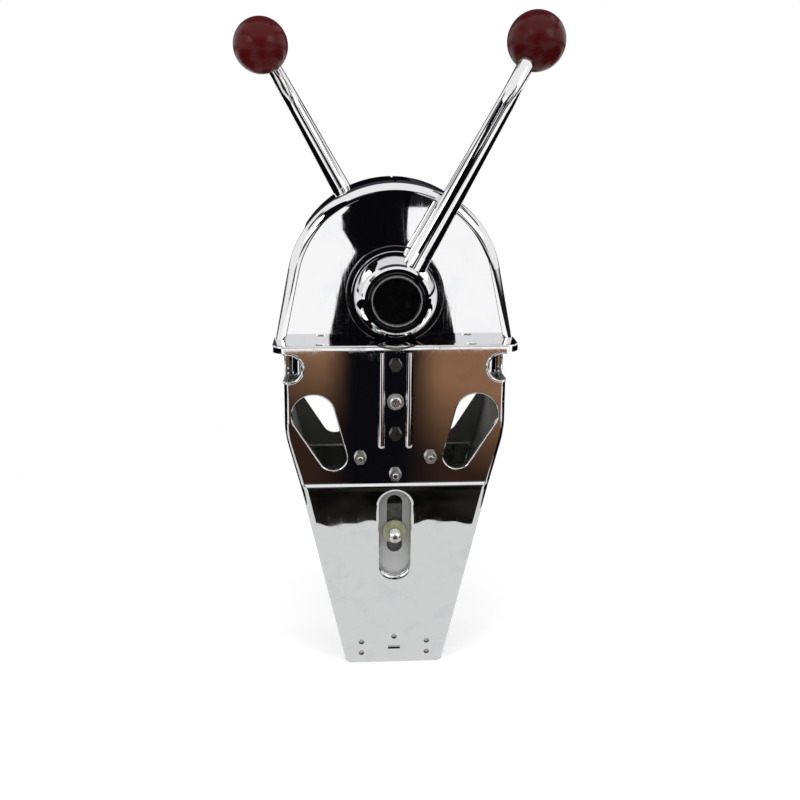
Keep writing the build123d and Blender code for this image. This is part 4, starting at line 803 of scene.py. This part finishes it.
def cardSet(turn, label):
    level = floorLook["height"] + cardLift
    ink = cardMaterial("standFlag" + label, plainColour, inkColour)
    cards = [
        flatPiece("edgeFlag" + label, edgeCard["far"] + wavyEdge(edgeCard), level,
                  cardMaterial("edgeFlag" + label, cloudyEdge, edgeCard)),
        flatPiece("brownFlag" + label, brownCard["outline"], level,
                  cardMaterial("brownFlag" + label, brownSides, brownCard)),
    ]
    for name, outline in lyingCards.items():
        cards.append(flatPiece(name + "Flag" + label, outline, level, ink))
    for name, look in standingCards.items():
        card = flatPiece(name + "Flag" + label, look["outline"], 0, ink)
        card.data.transform(Matrix.Translation((0, look["away"], 0)) @ Matrix.Rotation(math.pi / 2, 4, "X"))
        cards.append(card)
    for card in cards:
        card.matrix_world = Matrix.Rotation(turn, 4, "Z")
        onlyInReflections(card)


cardSet(0.0, "Front")
cardSet(math.pi, "Rear")

# bright room, as mirrors see it: each dark part is a product of ramps along a ray's direction
roomParts = {
    "skirting": [("up", "easesOut", 0.0, 0.045), ("up", "rises", -0.12, -0.10)],
    "skirtingRight": [("right", "rises", -0.12, -0.10)],
    "skirtingCorner": [("ahead", "easesIn", 0.20, 0.30)],
    "skirtingDoor": [("ahead", "easesOut", -0.70, -0.64), ("ahead", "easesIn", -0.84, -0.80)],
    "farWall": [("ahead", "easesIn", 0.18, 0.24), ("across", "easesOut", 0.45, 0.55),
                ("up", "rises", -0.01, 0.005)],
    "highPatch": [("up", "easesIn", 0.465, 0.50), ("away", "easesOut", 0.10, 0.22),
                  ("up", "easesOut", 0.66, 0.72)],
    "nearSide": [("ahead", "easesOut", -0.80, -0.70)],
    "nearLow": [("up", "easesIn", 0.04, 0.07), ("up", "easesOut", 0.17, 0.19)],
    "nearHigh": [("up", "easesIn", 0.265, 0.285), ("up", "easesOut", 0.42, 0.47)],
}
roomLook = {"fill": 0.62, "far": (0.05, 0.05, 0.065, 1), "near": (0.06, 0.06, 0.07, 1),
            "dark": (0.012, 0.012, 0.014, 1)}


def roomColour(tree, look, parts):
    right, ahead, up = splitPlace(tree, addNode(tree, "ShaderNodeTexCoord").outputs["Generated"])
    sources = {"right": right, "ahead": ahead, "up": up, "across": mathNode(tree, "ABSOLUTE", right),
               "away": mathNode(tree, "ABSOLUTE", ahead)}
    masks = {name: rampProduct(tree, sources, ramps) for name, ramps in parts.items()}
    # on the left the skirting shows only in the far corner and at a door's edge
    shown = mathNode(tree, "MAXIMUM", masks["skirtingCorner"], masks["skirtingDoor"])
    shown = mathNode(tree, "MAXIMUM", masks["skirtingRight"], shown)
    skirting = mathNode(tree, "MULTIPLY", masks["skirting"], shown)
    nearBands = mathNode(tree, "MAXIMUM", masks["nearLow"], masks["nearHigh"])
    near = mathNode(tree, "MULTIPLY", masks["nearSide"], nearBands)
    colour = mixColours(tree, masks["farWall"], white, look["far"])
    colour = mixColours(tree, near, colour, look["near"])
    dark = mathNode(tree, "MAXIMUM", skirting, masks["highPatch"])
    return mixColours(tree, dark, colour, look["dark"])


def makeWorld(look, parts):
    world = bpy.data.worlds.new("studioWorld")
    scene.world = world
    world.use_nodes = True
    tree = world.node_tree
    tree.nodes.clear()
    fill = addNode(tree, "ShaderNodeBackground", {"Color": white, "Strength": look["fill"]})
    backdrop = addNode(tree, "ShaderNodeBackground", {"Color": white, "Strength": 1.0})
    room = addNode(tree, "ShaderNodeBackground", {"Strength": 1.0})
    wire(tree, roomColour(tree, look, parts), room.inputs["Color"])
    fromCamera, fromMirror = rayKinds(tree)
    lit = mixShaders(tree, fromMirror, fill.outputs[0], room.outputs[0])
    output = addNode(tree, "ShaderNodeOutputWorld")
    wire(tree, mixShaders(tree, fromCamera, lit, backdrop.outputs[0]), output.inputs["Surface"])


makeWorld(roomLook, roomParts)

lampLooks = {
    "overhead": {"place": (0.0, -0.25, 1.5), "aim": (0, 0, 0), "size": 1.3, "power": 9.0, "mirrored": False},
    "frontLeft": {"place": (-1.1, -1.3, 0.9), "aim": (0, 0, 0), "size": 0.8, "power": 6.0, "mirrored": True},
    "frontRight": {"place": (1.2, -1.1, 0.9), "aim": (0, 0, 0), "size": 0.7, "power": 4.0, "mirrored": True},
}


def makeLamp(name, look):
    data = bpy.data.lights.new(name, "AREA")
    data.size = look["size"]
    data.energy = look["power"]
    lamp = linkObject(name, data)
    lamp.location = look["place"]
    lamp.rotation_mode = "QUATERNION"
    lamp.rotation_quaternion = (Vector(look["aim"]) - Vector(look["place"])).to_track_quat("-Z", "Y")
    lamp.visible_glossy = look["mirrored"]


for name, look in lampLooks.items():
    makeLamp(name, look)
print("stage: floor, cards, room and lamps set")
